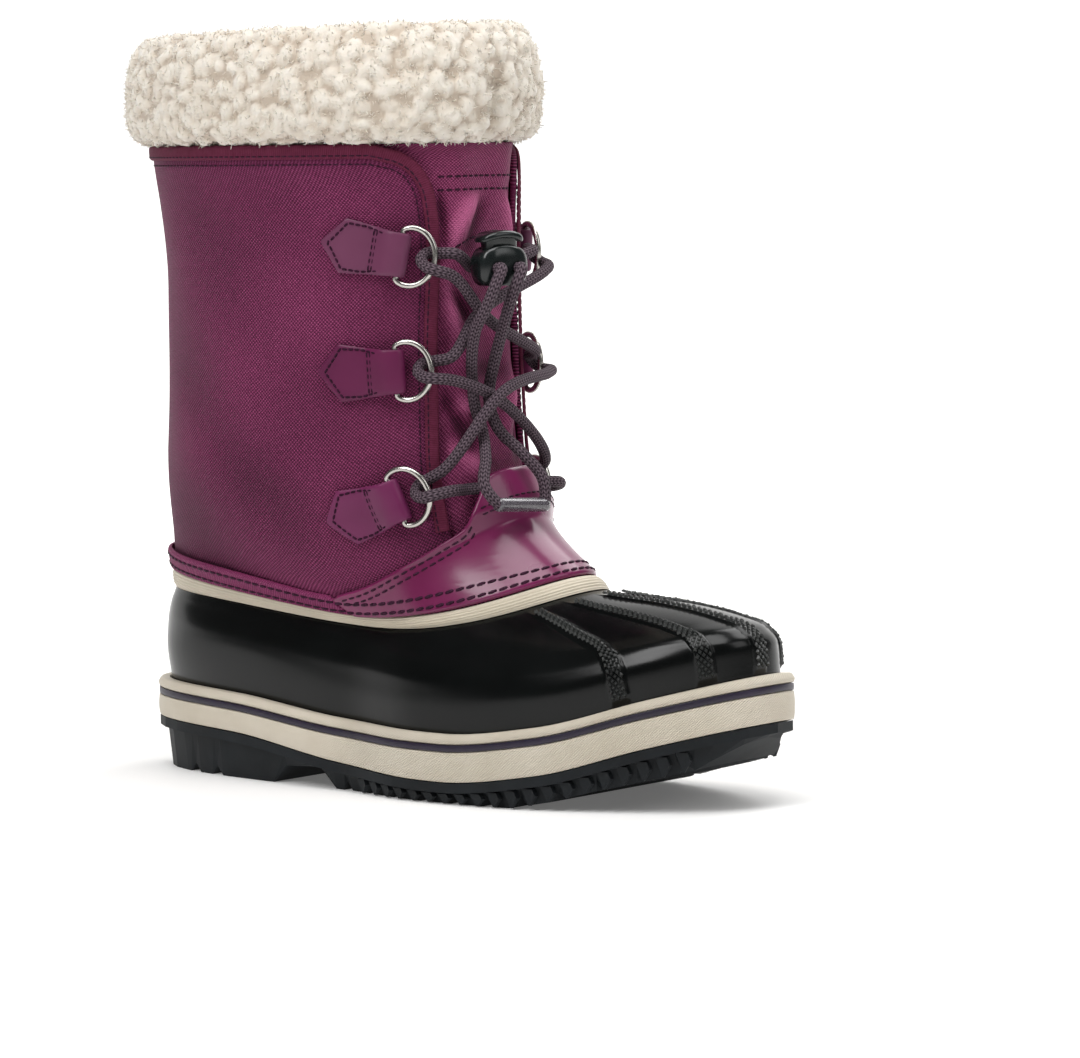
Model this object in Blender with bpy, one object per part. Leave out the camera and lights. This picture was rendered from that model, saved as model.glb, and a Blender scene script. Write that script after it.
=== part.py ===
"""Snow boot for the right foot: toe towards +X, lateral side towards -Y, floor at Z = 0.

The boot is shaped by one surface, surface(around, level). Around runs from 0 at the toe over 0.25
at the lateral side to 0.5 at the heel. Level is 0 at the top of the foxing, 1 at the top of the
rubber shell and 2 at the top of the leg.
"""

import math

import bpy
import numpy as np

# Overall sizes, in metres
SOLE_LENGTH = 0.255
HEEL_TO_ORIGIN = 0.036
BALL_WIDTH = 0.089
LEG_WIDTH = 0.101
SHELL_HEIGHT = 0.061
LEG_HEIGHT = 0.218
SOLE_DROP = 0.0298
BAND_HEIGHT = 0.0158

# Walls and gaps
FIT_GAP = 0.0003
SHELL_WALL = 0.003
LEG_WALL = 0.0022
LINER_WALL = 0.004
LINER_GAP = 0.0026
LEATHER = 0.0014
TAPE = 0.0009
TONGUE_WALL = 0.0016

# Outline of the foot: station along the sole, then half widths as shares of the ball width
FOOT_OUTLINE = [
    # station, lateral, medial
    (0.00, 0.385, 0.385),
    (0.14, 0.385, 0.385),
    (0.40, 0.410, 0.355),
    (0.55, 0.505, 0.410),
    (0.70, 0.525, 0.475),
    (0.85, 0.487, 0.473),
    (1.00, 0.430, 0.430),
]

# Height of the foxing's lower edge, as a share of the sole drop, and of its band
SOLE_LINE = [
    # station, lower edge, band share
    (0.00, 0.617, 0.835),
    (0.20, 0.557, 0.835),
    (0.42, 0.322, 0.940),
    (0.60, 0.252, 1.000),
    (0.74, 0.383, 1.000),
    (0.88, 0.718, 0.985),
    (1.00, 1.000, 0.975),
]

# Sections of the foot: ends as shares of the sole length, rise as a share of the shell height
FOOT_SECTIONS = [
    # level, back, front, side, follow, rise back, rise side, rise front, roundness
    (0.0, 0.002, 0.988, 0.970, 1.0, 0.000, 0.000, 0.000, 2.50),
    (0.2, -0.004, 0.985, 0.985, 1.0, 0.190, 0.150, 0.150, 2.50),
    (0.4, -0.004, 0.968, 0.975, 0.9, 0.380, 0.305, 0.330, 2.45),
    (0.6, -0.001, 0.925, 0.940, 0.7, 0.590, 0.460, 0.560, 2.40),
    (0.8, 0.004, 0.835, 0.885, 0.5, 0.755, 0.615, 0.805, 2.30),
    (1.0, 0.009, 0.715, 0.810, 0.3, 0.900, 0.795, 1.000, 2.20),
]

# Sections of the leg: climb is the share of the way from the shell's edge to the leg's top
LEG_SECTIONS = [
    # level, back, front, side, leg share, climb back, climb side, climb front, roundness
    (1.0, 0.009, 0.715, 0.810, 0.0, 0.000, 0.000, 0.000, 2.20),
    (1.2, 0.014, 0.612, 0.890, 0.5, 0.105, 0.092, 0.153, 2.15),
    (1.4, 0.028, 0.560, 0.953, 1.0, 0.342, 0.340, 0.377, 2.10),
    (1.7, 0.036, 0.552, 0.953, 1.0, 0.676, 0.679, 0.680, 2.10),
    (2.0, 0.016, 0.552, 1.005, 1.0, 1.000, 1.000, 1.000, 2.10),
    (2.3, 0.012, 0.556, 1.015, 1.0, 1.200, 1.200, 1.200, 2.10),
]
DIP_CENTRE = 0.25

# Front edge of the quarters: level, then how far round from the toe the edge lies
THROAT_EDGE = [
    (1.20, 0.098),
    (1.28, 0.088),
    (1.40, 0.077),
    (1.60, 0.073),
    (1.80, 0.068),
    (1.88, 0.071),
    (1.94, 0.083),
    (1.98, 0.104),
    (2.00, 0.132),
]
THROAT_BOTTOM = 1.20
THROAT_LAP = 0.020
FRONT_CELLS = 4
SIDE_CELLS = 24
LEG_LEVELS = [1.0, 1.05, 1.10, 1.15, 1.20, 1.26, 1.33, 1.42, 1.58, 1.75, 1.88, 1.94, 1.98, 2.0]

# Rims of the sole
OUTSOLE_OUT = 0.0042
RIM_HEIGHT = 0.0036
TREAD_INSET = 0.0015
FOXING_OUT = 0.0046
FOXING_WALL = 0.0041
BEAD_HEIGHT = 0.0031
STRIPE_HEIGHT = 0.0022
GROOVE_DEPTH = 0.0012
STRIPE_WALL = 0.0006

# Underside of the tread: station, height as a share of the sole drop
TREAD_LINE = [
    (0.00, 0.000),
    (0.265, 0.000),
    (0.295, 0.235),
    (0.355, 0.235),
    (0.385, 0.000),
    (0.70, 0.000),
    (0.76, 0.090),
    (0.82, 0.230),
    (0.88, 0.350),
    (0.94, 0.480),
    (1.00, 0.830),
]
HEEL_NOTCHES = (0.100, 0.150)
NOTCH_HALF = 0.012
NOTCH_DEPTH = 0.0030
LUG_START = 0.400
LUG_PITCH = 0.052
LUG_COUNT = 11
LUG_GROOVE = 0.016
LUG_DEPTH = 0.0032

# Rand, hem strip and vamp
RAND_HEIGHT = 0.0048
RAND_LAP = 0.0012
RAND_WALL = 0.0014
RAND_RIB = 0.0004
HEM_HEIGHT = 0.0078
VAMP_REACH = 0.222
VAMP_TOP = [
    # distance round from the toe, level of the vamp's upper edge
    (0.000, 1.300),
    (0.020, 1.300),
    (0.042, 1.295),
    (0.060, 1.262),
    (0.085, 1.222),
    (0.110, 1.215),
    (0.150, 1.195),
    (0.200, 1.140),
    (0.222, 1.100),
]
TAB_STAND = 0.0031
TONGUE_SET = 0.0032
BINDING_WIDTH = 0.0036
BACKSTAY_WIDTH = 0.0052
PIPING_WIDTH = 0.0020

# Toe ribs: place round the toe at the foxing, then at the shell's top edge
TOE_RIBS = [(-0.122, -0.062), (-0.060, -0.030), (0.006, 0.010), (0.070, 0.050), (0.132, 0.086)]
RIB_WIDTH = 0.0066
RIB_TOP_WIDTH = 0.0046
RIB_RAISE = 0.0008

# Lace tabs and rings
TAB_LENGTH = 0.0245
TAB_HEIGHT = 0.0185
TAB_POINT = 0.0065
TAB_LOOP_HEIGHT = 0.0148
TAB_TAIL = 0.0050
RING_WIRE = 0.0021
RING_HEIGHT = 0.0215
RING_REACH = 0.0120
LACE_STATIONS = [
    # name, place round from the toe, level, tilt in degrees (front end up)
    ("low", 0.128, 1.315, 22.0),
    ("mid", 0.116, 1.545, 3.0),
    ("top", 0.110, 1.775, -10.0),
]

# Lace and its lock
LACE_WIDTH = 0.0040
LACE_CLEAR = 0.0017
LACE_SPACE = 0.0022
LOCK_CLEAR = 0.0006
LOOP_POINTS = 20
CROSSINGS = {
    # distance round from the toe, level, distance out of the point where two strands meet
    "low": (0.0259, 1.454, 0.0089),
    "mid": (0.0297, 1.635, 0.0044),
}
BAR_LOW = [
    # distance round from the toe, level, distance out of the bar behind the lace tab
    (0.064, 1.288, 0.0016),
    (0.044, 1.279, 0.0014),
    (0.022, 1.271, 0.0008),
    (0.000, 1.268, 0.0004),
]
LOCK_PLACE = (0.0225, 1.701, 0.0112)
LOCK_TURN = -20.0
LOCK_WIDTH = 0.0190
LOCK_DEPTH = 0.0120
LOCK_HEIGHT = 0.0134
LOCK_BORE = 0.0048
LOCK_BORE_SPACING = 0.0080
LOCK_BORE_HEIGHT = 0.0058
WELL_WIDTH = 0.0130
WELL_DEPTH = 0.0080
WELL_SINK = 0.0046
BUTTON_GAP = 0.0026
BUTTON_DIP = 0.0015
BUTTON_CAP = 0.0025
BUTTON_WIDTH = 0.0165
BUTTON_DEPTH = 0.0105
SLOT_SIZE = (0.0026, 0.0065)
LOOP_TUBE_WIDTH = 0.0048
LOOP_TUBE_ENDS = [
    # the tube's two ends, from the lock's foot
    (0.0073, -0.0120, -0.0725),
    (0.0110, 0.0099, -0.0738),
]
LOOP_LATERAL = [
    # route of the loop's lateral strand, from the lock's foot
    (0.0066, -0.0094, 0.0022),
    (0.0038, -0.0116, -0.0063),
    (-0.0018, -0.0108, -0.0143),
    (-0.0060, -0.0078, -0.0238),
    (-0.0093, -0.0034, -0.0333),
    (-0.0091, -0.0024, -0.0408),
    (-0.0054, -0.0036, -0.0478),
    (0.0008, -0.0097, -0.0577),
    (0.0041, -0.0146, -0.0663),
]
LOOP_MEDIAL = [
    # route of the loop's medial strand, from the lock's foot
    (0.0094, -0.0018, 0.0022),
    (0.0053, -0.0014, -0.0063),
    (-0.0012, 0.0019, -0.0173),
    (-0.0052, 0.0032, -0.0263),
    (-0.0074, 0.0034, -0.0343),
    (-0.0074, 0.0036, -0.0413),
    (-0.0042, 0.0044, -0.0488),
    (0.0038, 0.0064, -0.0563),
    (0.0098, 0.0099, -0.0653),
]

# Cuff: profile as shares of the cuff's out, in and height
CUFF_OUT = 0.0085
CUFF_IN = 0.0115
CUFF_HEIGHT = 0.0400
CUFF_LUMP = 0.0013
CUFF_PROFILE = [
    # outwards share (negative is inwards), height share
    (0.10, 0.000),
    (0.72, 0.070),
    (0.98, 0.280),
    (0.98, 0.560),
    (0.72, 0.820),
    (0.10, 0.980),
    (-0.45, 0.980),
    (-0.85, 0.820),
    (-1.00, 0.520),
    (-1.00, 0.200),
    (-0.80, 0.000),
]

# Colour, roughness and metallic of each finish
FINISHES = {
    "outsole_rubber": ((0.030, 0.034, 0.038, 1), 0.62, 0.0),
    "cream_rubber": ((0.690, 0.610, 0.490, 1), 0.55, 0.0),
    "stripe_rubber": ((0.035, 0.018, 0.060, 1), 0.50, 0.0),
    "shell_rubber": ((0.006, 0.007, 0.007, 1), 0.16, 0.0),
    "nylon": ((0.150, 0.025, 0.100, 1), 0.80, 0.0),
    "binding_tape": ((0.120, 0.015, 0.045, 1), 0.75, 0.0),
    "leather": ((0.180, 0.028, 0.110, 1), 0.32, 0.0),
    "wire": ((0.720, 0.700, 0.670, 1), 0.18, 1.0),
    "lace_braid": ((0.075, 0.050, 0.072, 1), 0.85, 0.0),
    "lock_plastic": ((0.010, 0.014, 0.014, 1), 0.35, 0.0),
    "clear_tube": ((0.420, 0.360, 0.400, 1), 0.15, 0.0),
    "felt": ((0.560, 0.520, 0.450, 1), 0.95, 0.0),
    "fleece": ((0.740, 0.670, 0.560, 1), 0.95, 0.0),
}


def clear_scene():
    for thing in list(bpy.data.objects):
        bpy.data.objects.remove(thing, do_unlink=True)


def smooth_table(knots, values, at):
    """Monotone cubic through the knots, so that a table never overshoots its rows."""
    knots = np.asarray(knots, float)
    values = np.asarray(values, float)
    step = np.diff(knots)
    slope = np.diff(values) / step
    tangent = np.zeros(len(knots))
    tangent[0] = slope[0]
    tangent[-1] = slope[-1]
    for i in range(1, len(knots) - 1):
        if slope[i - 1] * slope[i] > 0:
            before = 2 * step[i] + step[i - 1]
            after = step[i] + 2 * step[i - 1]
            tangent[i] = (before + after) / (before / slope[i - 1] + after / slope[i])
    at = np.clip(np.asarray(at, float), knots[0], knots[-1])
    i = np.clip(np.searchsorted(knots, at) - 1, 0, len(knots) - 2)
    t = (at - knots[i]) / step[i]
    start = (2 * t**3 - 3 * t**2 + 1) * values[i] + (t**3 - 2 * t**2 + t) * step[i] * tangent[i]
    end = (3 * t**2 - 2 * t**3) * values[i + 1] + (t**3 - t**2) * step[i] * tangent[i + 1]
    return start + end


def column(table, index, at):
    """One column of a table, read at the places in its first column."""
    return smooth_table([row[0] for row in table], [row[index] for row in table], at)


def straight_column(table, index, at):
    return np.interp(at, [row[0] for row in table], [row[index] for row in table])


def half_width(station, lateral):
    lateral_half = column(FOOT_OUTLINE, 1, station)
    medial_half = column(FOOT_OUTLINE, 2, station)
    return BALL_WIDTH * np.where(lateral, lateral_half, medial_half)


def sole_height(station):
    return SOLE_DROP * column(SOLE_LINE, 1, station)


def band_height(station):
    return BAND_HEIGHT * column(SOLE_LINE, 2, station)


def dipped(along, back, side, front):
    """A height that is lowest a little ahead of the middle and rises to both ends."""
    ahead = np.clip((along - DIP_CENTRE) / (1 - DIP_CENTRE), 0, 1) ** 2
    behind = np.clip((DIP_CENTRE - along) / (1 + DIP_CENTRE), 0, 1) ** 1.2
    return side + (front - side) * ahead + (back - side) * behind


def oval(around, roundness):
    angle = 2 * math.pi * np.asarray(around, float)
    power = 2 / roundness
    along = np.sign(np.cos(angle)) * np.abs(np.cos(angle)) ** power
    across = np.sign(np.sin(angle)) * np.abs(np.sin(angle)) ** power
    return along, across


def foot_point(around, level):
    back, front, side, follow, rise_back, rise_side, rise_front, roundness = (
        column(FOOT_SECTIONS, i, level) for i in range(1, 9)
    )
    along, across = oval(around, roundness)
    station = (front + back) / 2 + (front - back) / 2 * along
    y = -half_width(station, across > 0) * side * across
    rise = SHELL_HEIGHT * dipped(along, rise_back, rise_side, rise_front)
    z = follow * (sole_height(station) + band_height(station)) + rise
    return np.stack([station * SOLE_LENGTH - HEEL_TO_ORIGIN, y, z], axis=-1)


def leg_point(around, level):
    back, front, side, leg, climb_back, climb_side, climb_front, roundness = (
        column(LEG_SECTIONS, i, level) for i in range(1, 9)
    )
    along, across = oval(around, roundness)
    station = (front + back) / 2 + (front - back) / 2 * along
    foot_half = half_width(station, across > 0) * side
    y = -((1 - leg) * foot_half + leg * LEG_WIDTH / 2 * side) * across
    edge = foot_point(around, np.ones_like(np.asarray(around, float)))[..., 2]
    climb = dipped(along, climb_back, climb_side, climb_front)
    z = edge + (LEG_HEIGHT - edge) * climb
    return np.stack([station * SOLE_LENGTH - HEEL_TO_ORIGIN, y, z], axis=-1)


def surface(around, level):
    """Points of the boot's outer surface."""
    around, level = np.broadcast_arrays(np.asarray(around, float), np.asarray(level, float))
    foot = foot_point(around, np.minimum(level, 1.0))
    leg = leg_point(around, np.maximum(level, 1.0))
    return np.where((level > 1.0)[..., None], leg, foot)


def outward(around, level):
    """Unit normals of the surface, facing out."""
    small_turn, small_level = 0.002, 0.01
    level = np.asarray(level, float)
    turn = surface(around + small_turn, level) - surface(around - small_turn, level)
    climb = surface(around, level + small_level) - surface(around, np.maximum(level - small_level, 0))
    normal = np.cross(climb, turn)
    return normal / np.linalg.norm(normal, axis=-1, keepdims=True)


def skin(around, level, out):
    """A point that lies the distance out beyond the surface, or inside it where out is negative."""
    around, level, out = np.broadcast_arrays(
        np.asarray(around, float), np.asarray(level, float), np.asarray(out, float)
    )
    return surface(around, level) + outward(around, level) * out[..., None]


def sole_ring(around, out, rise):
    """Points round the foot's lowest ring, pushed out in plan, at a rise above the sole line."""
    around = np.asarray(around, float)
    base = surface(around, 0.0)
    ahead = surface(around + 0.003, 0.0) - surface(around - 0.003, 0.0)
    normal = np.stack([ahead[..., 1], -ahead[..., 0], np.zeros_like(around)], axis=-1)
    normal = -normal / np.linalg.norm(normal, axis=-1, keepdims=True)
    station = (base[..., 0] + HEEL_TO_ORIGIN) / SOLE_LENGTH
    points = base + normal * np.asarray(out, float)[..., None]
    points[..., 2] = sole_height(station) + rise
    return points


def station_of(points):
    return (points[..., 0] + HEEL_TO_ORIGIN) / SOLE_LENGTH


def level_at(around, distance, start=1.0):
    """The level that lies a distance above the start level, measured along the surface."""
    around = np.atleast_1d(np.asarray(around, float))
    levels = np.linspace(start - 0.1, start + 0.7, 161)
    found = []
    for turn in around:
        line = surface(np.full_like(levels, turn), levels)
        steps = np.linalg.norm(np.diff(line, axis=0), axis=1)
        reach = np.concatenate([[0.0], np.cumsum(steps)])
        reach -= np.interp(start, levels, reach)
        found.append(np.interp(distance, reach, levels))
    return np.array(found)


def turn_for(around, level, width):
    """How much round the boot a width covers at one place."""
    step = 0.002
    ahead = surface(np.array(around + step), np.array(level)) - surface(np.array(around), np.array(level))
    return width * step / float(np.linalg.norm(ahead))


def finish(name):
    material = bpy.data.materials.get(name)
    if material:
        return material
    colour, roughness, metallic = FINISHES[name]
    material = bpy.data.materials.new(name)
    material.use_nodes = True
    shader = material.node_tree.nodes["Principled BSDF"]
    shader.inputs["Base Color"].default_value = colour
    shader.inputs["Roughness"].default_value = roughness
    shader.inputs["Metallic"].default_value = metallic
    return material


def solid_volume(points, faces):
    total = 0.0
    for face in faces:
        for i in range(1, len(face) - 1):
            a, b, c = points[face[0]], points[face[i]], points[face[i + 1]]
            total += float(np.dot(a, np.cross(b, c)))
    return total / 6


def add_solid(name, points, faces, look):
    """Makes one closed body with its faces out."""
    points = np.asarray(points, float).reshape(-1, 3)
    if solid_volume(points, faces) < 0:
        faces = [tuple(reversed(face)) for face in faces]
    mesh = bpy.data.meshes.new(name)
    mesh.from_pydata([tuple(p) for p in points], [], [tuple(face) for face in faces])
    mesh.update()
    solid = bpy.data.objects.new(name, mesh)
    solid.data.materials.append(finish(look))
    bpy.context.scene.collection.objects.link(solid)
    return solid


def add_wall(name, outer, inner, look, keep=None, closed=False):
    """A wall between two grids of points, with a side wherever a kept cell ends."""
    rows, columns = outer.shape[:2]
    cells = columns if closed else columns - 1
    if keep is None:
        keep = np.ones((rows - 1, cells), bool)
    used = {}
    points = []

    def corner(side, row, col):
        key = (side, row, col % columns)
        if key not in used:
            used[key] = len(points)
            points.append((outer, inner)[side][row, col % columns])
        return used[key]

    def kept(row, col):
        if closed:
            col %= cells
        return 0 <= row < rows - 1 and 0 <= col < cells and keep[row, col]

    faces = []
    for row in range(rows - 1):
        for col in range(cells):
            if not keep[row, col]:
                continue
            ends = [(row, col), (row, col + 1), (row + 1, col + 1), (row + 1, col)]
            faces.append(tuple(corner(0, *end) for end in ends))
            faces.append(tuple(corner(1, *end) for end in reversed(ends)))
            neighbours = [(row - 1, col), (row, col + 1), (row + 1, col), (row, col - 1)]
            for i, neighbour in enumerate(neighbours):
                if kept(*neighbour):
                    continue
                first, second = ends[i], ends[(i + 1) % 4]
                faces.append((corner(0, *second), corner(0, *first), corner(1, *first), corner(1, *second)))
    return add_solid(name, points, faces, look)


def add_hoop(name, sections, look):
    """A closed hoop through sections of equal count, each a closed loop."""
    sections = np.asarray(sections, float)
    count, size = sections.shape[:2]
    faces = []
    for i in range(count):
        j = (i + 1) % count
        for k in range(size):
            m = (k + 1) % size
            faces.append((i * size + k, i * size + m, j * size + m, j * size + k))
    return add_solid(name, sections, faces, look)


def add_stack(name, loops, look, first_cap=None, last_cap=None):
    """A body through stacked loops, closed by a face or by the given caps at both ends."""
    loops = np.asarray(loops, float)
    count, size = loops.shape[:2]
    faces = []
    for i in range(count - 1):
        for k in range(size):
            m = (k + 1) % size
            faces.append((i * size + k, i * size + m, (i + 1) * size + m, (i + 1) * size + k))
    last = (count - 1) * size
    faces += first_cap or [tuple(reversed(range(size)))]
    faces += last_cap or [tuple(range(last, last + size))]
    return add_solid(name, loops, faces, look)


def ladder_cap(start, size, downwards):
    """Quads from side to side over a loop that starts at the toe."""
    faces = []
    for k in range(size // 2):
        right = (start + k, start + k + 1)
        left = (start + (size - k) % size, start + size - k - 1)
        face = [right[0], right[1], left[1], left[0]]
        face = [p for i, p in enumerate(face) if p not in face[:i]]
        faces.append(tuple(reversed(face)) if downwards else tuple(face))
    return faces


def spread(count):
    """Places all round the boot, closer together at the toe."""
    even = np.arange(count) / count
    return even - 0.35 / (2 * math.pi) * np.sin(2 * math.pi * even) * 0.6


def make_outsole():
    """The plate under the foxing with its heel, arch and lugs, and the toe spring."""
    base_front, base_back = FOOT_SECTIONS[0][2], FOOT_SECTIONS[0][1]
    middle, half = (base_front + base_back) / 2, (base_front - base_back) / 2
    roundness = FOOT_SECTIONS[0][8]
    marks = {0.0, 1.0}
    marks.update(0.5 - 0.5 * math.cos(math.pi * i / 22) for i in range(23))
    edge_lift = {}
    middle_lift = {}
    for centre in HEEL_NOTCHES:
        edge_lift[centre] = NOTCH_DEPTH
        marks.update((centre - NOTCH_HALF, centre, centre + NOTCH_HALF))
    for row in TREAD_LINE[1:-1]:
        marks.add(row[0])
    slant = 0.006
    for i in range(LUG_COUNT):
        start = LUG_START + i * LUG_PITCH
        if start + LUG_GROOVE > 0.955:
            continue
        edges = (start, start + slant, start + LUG_GROOVE)
        marks.update(edges)
        edge_lift[edges[1]] = LUG_DEPTH
        middle_lift[edges[2]] = LUG_DEPTH
        middle_lift[edges[1]] = LUG_DEPTH
    stations = []
    for mark in sorted(marks):
        if not stations or mark - stations[-1] > 0.0035 or mark in edge_lift or mark in middle_lift:
            stations.append(mark)
    lateral_turns, lifts = [], []
    for station in stations:
        share = min(max((station - base_back) / (base_front - base_back), 0.0), 1.0)
        along = (base_back + share * (base_front - base_back) - middle) / half
        along = min(max(along, -1.0), 1.0)
        angle = math.acos(math.copysign(abs(along) ** (roundness / 2), along))
        lateral_turns.append(angle / (2 * math.pi))
        lifts.append((edge_lift.get(station, 0.0), middle_lift.get(station, 0.0)))
    order = list(range(len(stations) - 1, -1, -1))
    turns = [lateral_turns[i] for i in order] + [1 - lateral_turns[i] for i in order[::-1][1:-1]]
    turns[0] = 0.0
    rise = [lifts[i] for i in order] + [lifts[i] for i in order[::-1][1:-1]]
    turns = np.array(turns)
    top = sole_ring(turns, np.full(len(turns), OUTSOLE_OUT), -FIT_GAP)
    rim = sole_ring(turns, np.full(len(turns), OUTSOLE_OUT), -RIM_HEIGHT)
    neck = sole_ring(turns, np.full(len(turns), TREAD_INSET), -RIM_HEIGHT - 0.0002)
    foot = sole_ring(turns, np.full(len(turns), 0.0), 0.0)
    station = station_of(neck)
    tread = SOLE_DROP * straight_column(TREAD_LINE, 1, station)
    foot[:, 2] = np.minimum(tread + np.array([r[0] for r in rise]), neck[:, 2] - 0.0004)
    size = len(turns)
    points = [*top, *rim, *neck, *foot]
    faces = []
    for i in range(3):
        for k in range(size):
            m = (k + 1) % size
            faces.append((i * size + k, i * size + m, (i + 1) * size + m, (i + 1) * size + k))
    faces += ladder_cap(0, size, True)
    # Across the underside each station has two more points, which carry the middle lugs
    inner_share = 0.55
    inner = {}
    for k in range(1, size // 2):
        right, left = foot[k], foot[size - k]
        centre = (right + left) / 2
        for side, edge, at in ((0, right, k), (1, left, size - k)):
            point = centre + (edge - centre) * inner_share
            point[2] = min(tread[k] + rise[k][1], neck[k, 2] - 0.0004)
            inner[(side, k)] = len(points)
            points.append(point)
    base = 3 * size
    for k in range(1, size // 2 - 1):
        m = k + 1
        right, next_right = base + k, base + m
        left, next_left = base + size - k, base + size - m
        faces.append((right, next_right, inner[(0, m)], inner[(0, k)]))
        faces.append((inner[(0, k)], inner[(0, m)], inner[(1, m)], inner[(1, k)]))
        faces.append((inner[(1, k)], inner[(1, m)], next_left, left))
    last = size // 2 - 1
    for k, tip in ((1, base), (last, base + size // 2)):
        right, left = base + k, base + size - k
        fan = [(tip, right, inner[(0, k)]), (tip, inner[(0, k)], inner[(1, k)]), (tip, inner[(1, k)], left)]
        faces += fan if k == 1 else [tuple(reversed(face)) for face in fan]
    return add_solid("outsole", points, faces, "outsole_rubber")


def make_foxing():
    """The cream sidewall: a rounded lower band, a groove for the stripe and a bead on top."""
    turns = shell_columns()[:, 0]
    base = surface(turns, 0.0)
    band = band_height(station_of(base))
    groove_top = band - BEAD_HEIGHT
    groove_low = groove_top - STRIPE_HEIGHT - 2 * FIT_GAP
    out, inside = FOXING_OUT, FOXING_OUT - FOXING_WALL
    profile = [
        (out - 0.0003, 0 * band),
        (out, 0.5 * groove_low),
        (out - 0.0002, groove_low),
        (out - GROOVE_DEPTH, groove_low),
        (out - GROOVE_DEPTH, groove_top),
        (out - 0.0002, groove_top),
        (out, band - 0.4 * BEAD_HEIGHT),
        (out - 0.0010, band),
        (inside, band),
        (inside, 0 * band),
    ]
    sections = np.stack([sole_ring(turns, np.full(len(turns), o), r) for o, r in profile], axis=1)
    return add_hoop("foxing", sections, "cream_rubber")


def make_stripe():
    """The dark line that fills the foxing's groove."""
    turns = shell_columns()[:, 0]
    base = surface(turns, 0.0)
    top = band_height(station_of(base)) - BEAD_HEIGHT - FIT_GAP
    low = top - STRIPE_HEIGHT
    inside = FOXING_OUT - GROOVE_DEPTH + FIT_GAP
    profile = [(inside, low), (inside + STRIPE_WALL, low), (inside + STRIPE_WALL, top), (inside, top)]
    sections = np.stack([sole_ring(turns, np.full(len(turns), o), r) for o, r in profile], axis=1)
    return add_hoop("foxing_stripe", sections, "stripe_rubber")


def shell_columns():
    """Places round the shell at its bottom and top, with the raise of each: five ribs over the toe."""
    columns = []
    for low, high in TOE_RIBS:
        low_half = turn_for(low, 0.2, RIB_WIDTH) / 2
        high_half = turn_for(high, 1.0, RIB_TOP_WIDTH) / 2
        for side in (-1, 1):
            edges = [(1.12, 0.0), (0.92, 1.0)]
            for share, raised in edges if side < 0 else edges[::-1]:
                columns.append((low + side * share * low_half, high + side * share * high_half, raised))
    first, last = columns[0], columns[-1]
    count = 24
    for i in range(1, count):
        share = i / count
        low = last[0] + (1 + first[0] - last[0]) * share
        high = last[1] + (1 + first[1] - last[1]) * share
        columns.append((low, high, 0.0))
    return np.array(columns)


def make_shell():
    """The waterproof foot: hollow, open above and below, one with its toe ribs."""
    low, high, raised = shell_columns().T
    loops = [sole_ring(low, np.zeros(len(low)), FIT_GAP)]
    for level in (0.0, 0.12, 0.28, 0.45, 0.62, 0.80, 1.0):
        turn = low + (high - low) * level
        lift = RIB_RAISE * raised * (0.0 if level in (0.0, 1.0) else 1.0)
        loops.append(skin(turn, level, lift))
    for level in (1.0, 0.80, 0.62, 0.45, 0.28, 0.12):
        turn = low + (high - low) * level
        loops.append(skin(turn, level, -SHELL_WALL))
    inner = np.full(len(low), -SHELL_WALL)
    band = band_height(station_of(surface(low, 0.0)))
    loops.append(sole_ring(low, inner, band))
    loops.append(sole_ring(low, inner, FIT_GAP))
    return add_hoop("rubber_shell", np.stack(loops, axis=1), "shell_rubber")


def make_rand():
    """The ribbed bead that covers the joint of shell and leg."""
    turns = spread(44)
    profile = [(-RAND_LAP, FIT_GAP)]
    ribs = 2
    full = RAND_LAP + RAND_HEIGHT
    for i in range(2 * ribs + 1):
        height = -RAND_LAP + full * (0.08 + 0.84 * i / (2 * ribs))
        profile.append((height, FIT_GAP + RAND_WALL - (RAND_RIB if i % 2 == 0 else 0.0)))
    profile.append((RAND_HEIGHT, FIT_GAP))
    loops = [skin(turns, level_at(turns, height), out) for height, out in profile]
    return add_hoop("shell_rand", np.stack(loops, axis=1), "cream_rubber")


def throat_half(level):
    """How far round from the toe the quarter's front edge lies at one level."""
    return column(THROAT_EDGE, 1, level)


def leg_turns(level):
    """Places round the leg at one level, with the throat's two edges among them."""
    edge = float(throat_half(level))
    lap = edge + THROAT_LAP
    front = np.linspace(-edge, edge, FRONT_CELLS + 1)
    return np.concatenate([front, np.linspace(lap, 1 - lap, SIDE_CELLS - 1)])


def make_shaft():
    """The woven quarters: one hollow wall, open at the collar, the throat and underneath."""
    turns = np.array([leg_turns(level) for level in LEG_LEVELS])
    heights = np.repeat(np.array(LEG_LEVELS)[:, None], turns.shape[1], axis=1)
    heights[0] = level_at(turns[0], 2 * FIT_GAP)
    keep = np.ones((len(LEG_LEVELS) - 1, turns.shape[1]), bool)
    solid_rows = sum(level < THROAT_BOTTOM for level in LEG_LEVELS)
    keep[solid_rows:, :FRONT_CELLS] = False
    outer = skin(turns, heights, 0.0)
    inner = skin(turns, heights, -LEG_WALL)
    return add_wall("shaft", outer, inner, "nylon", keep, closed=True)


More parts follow.
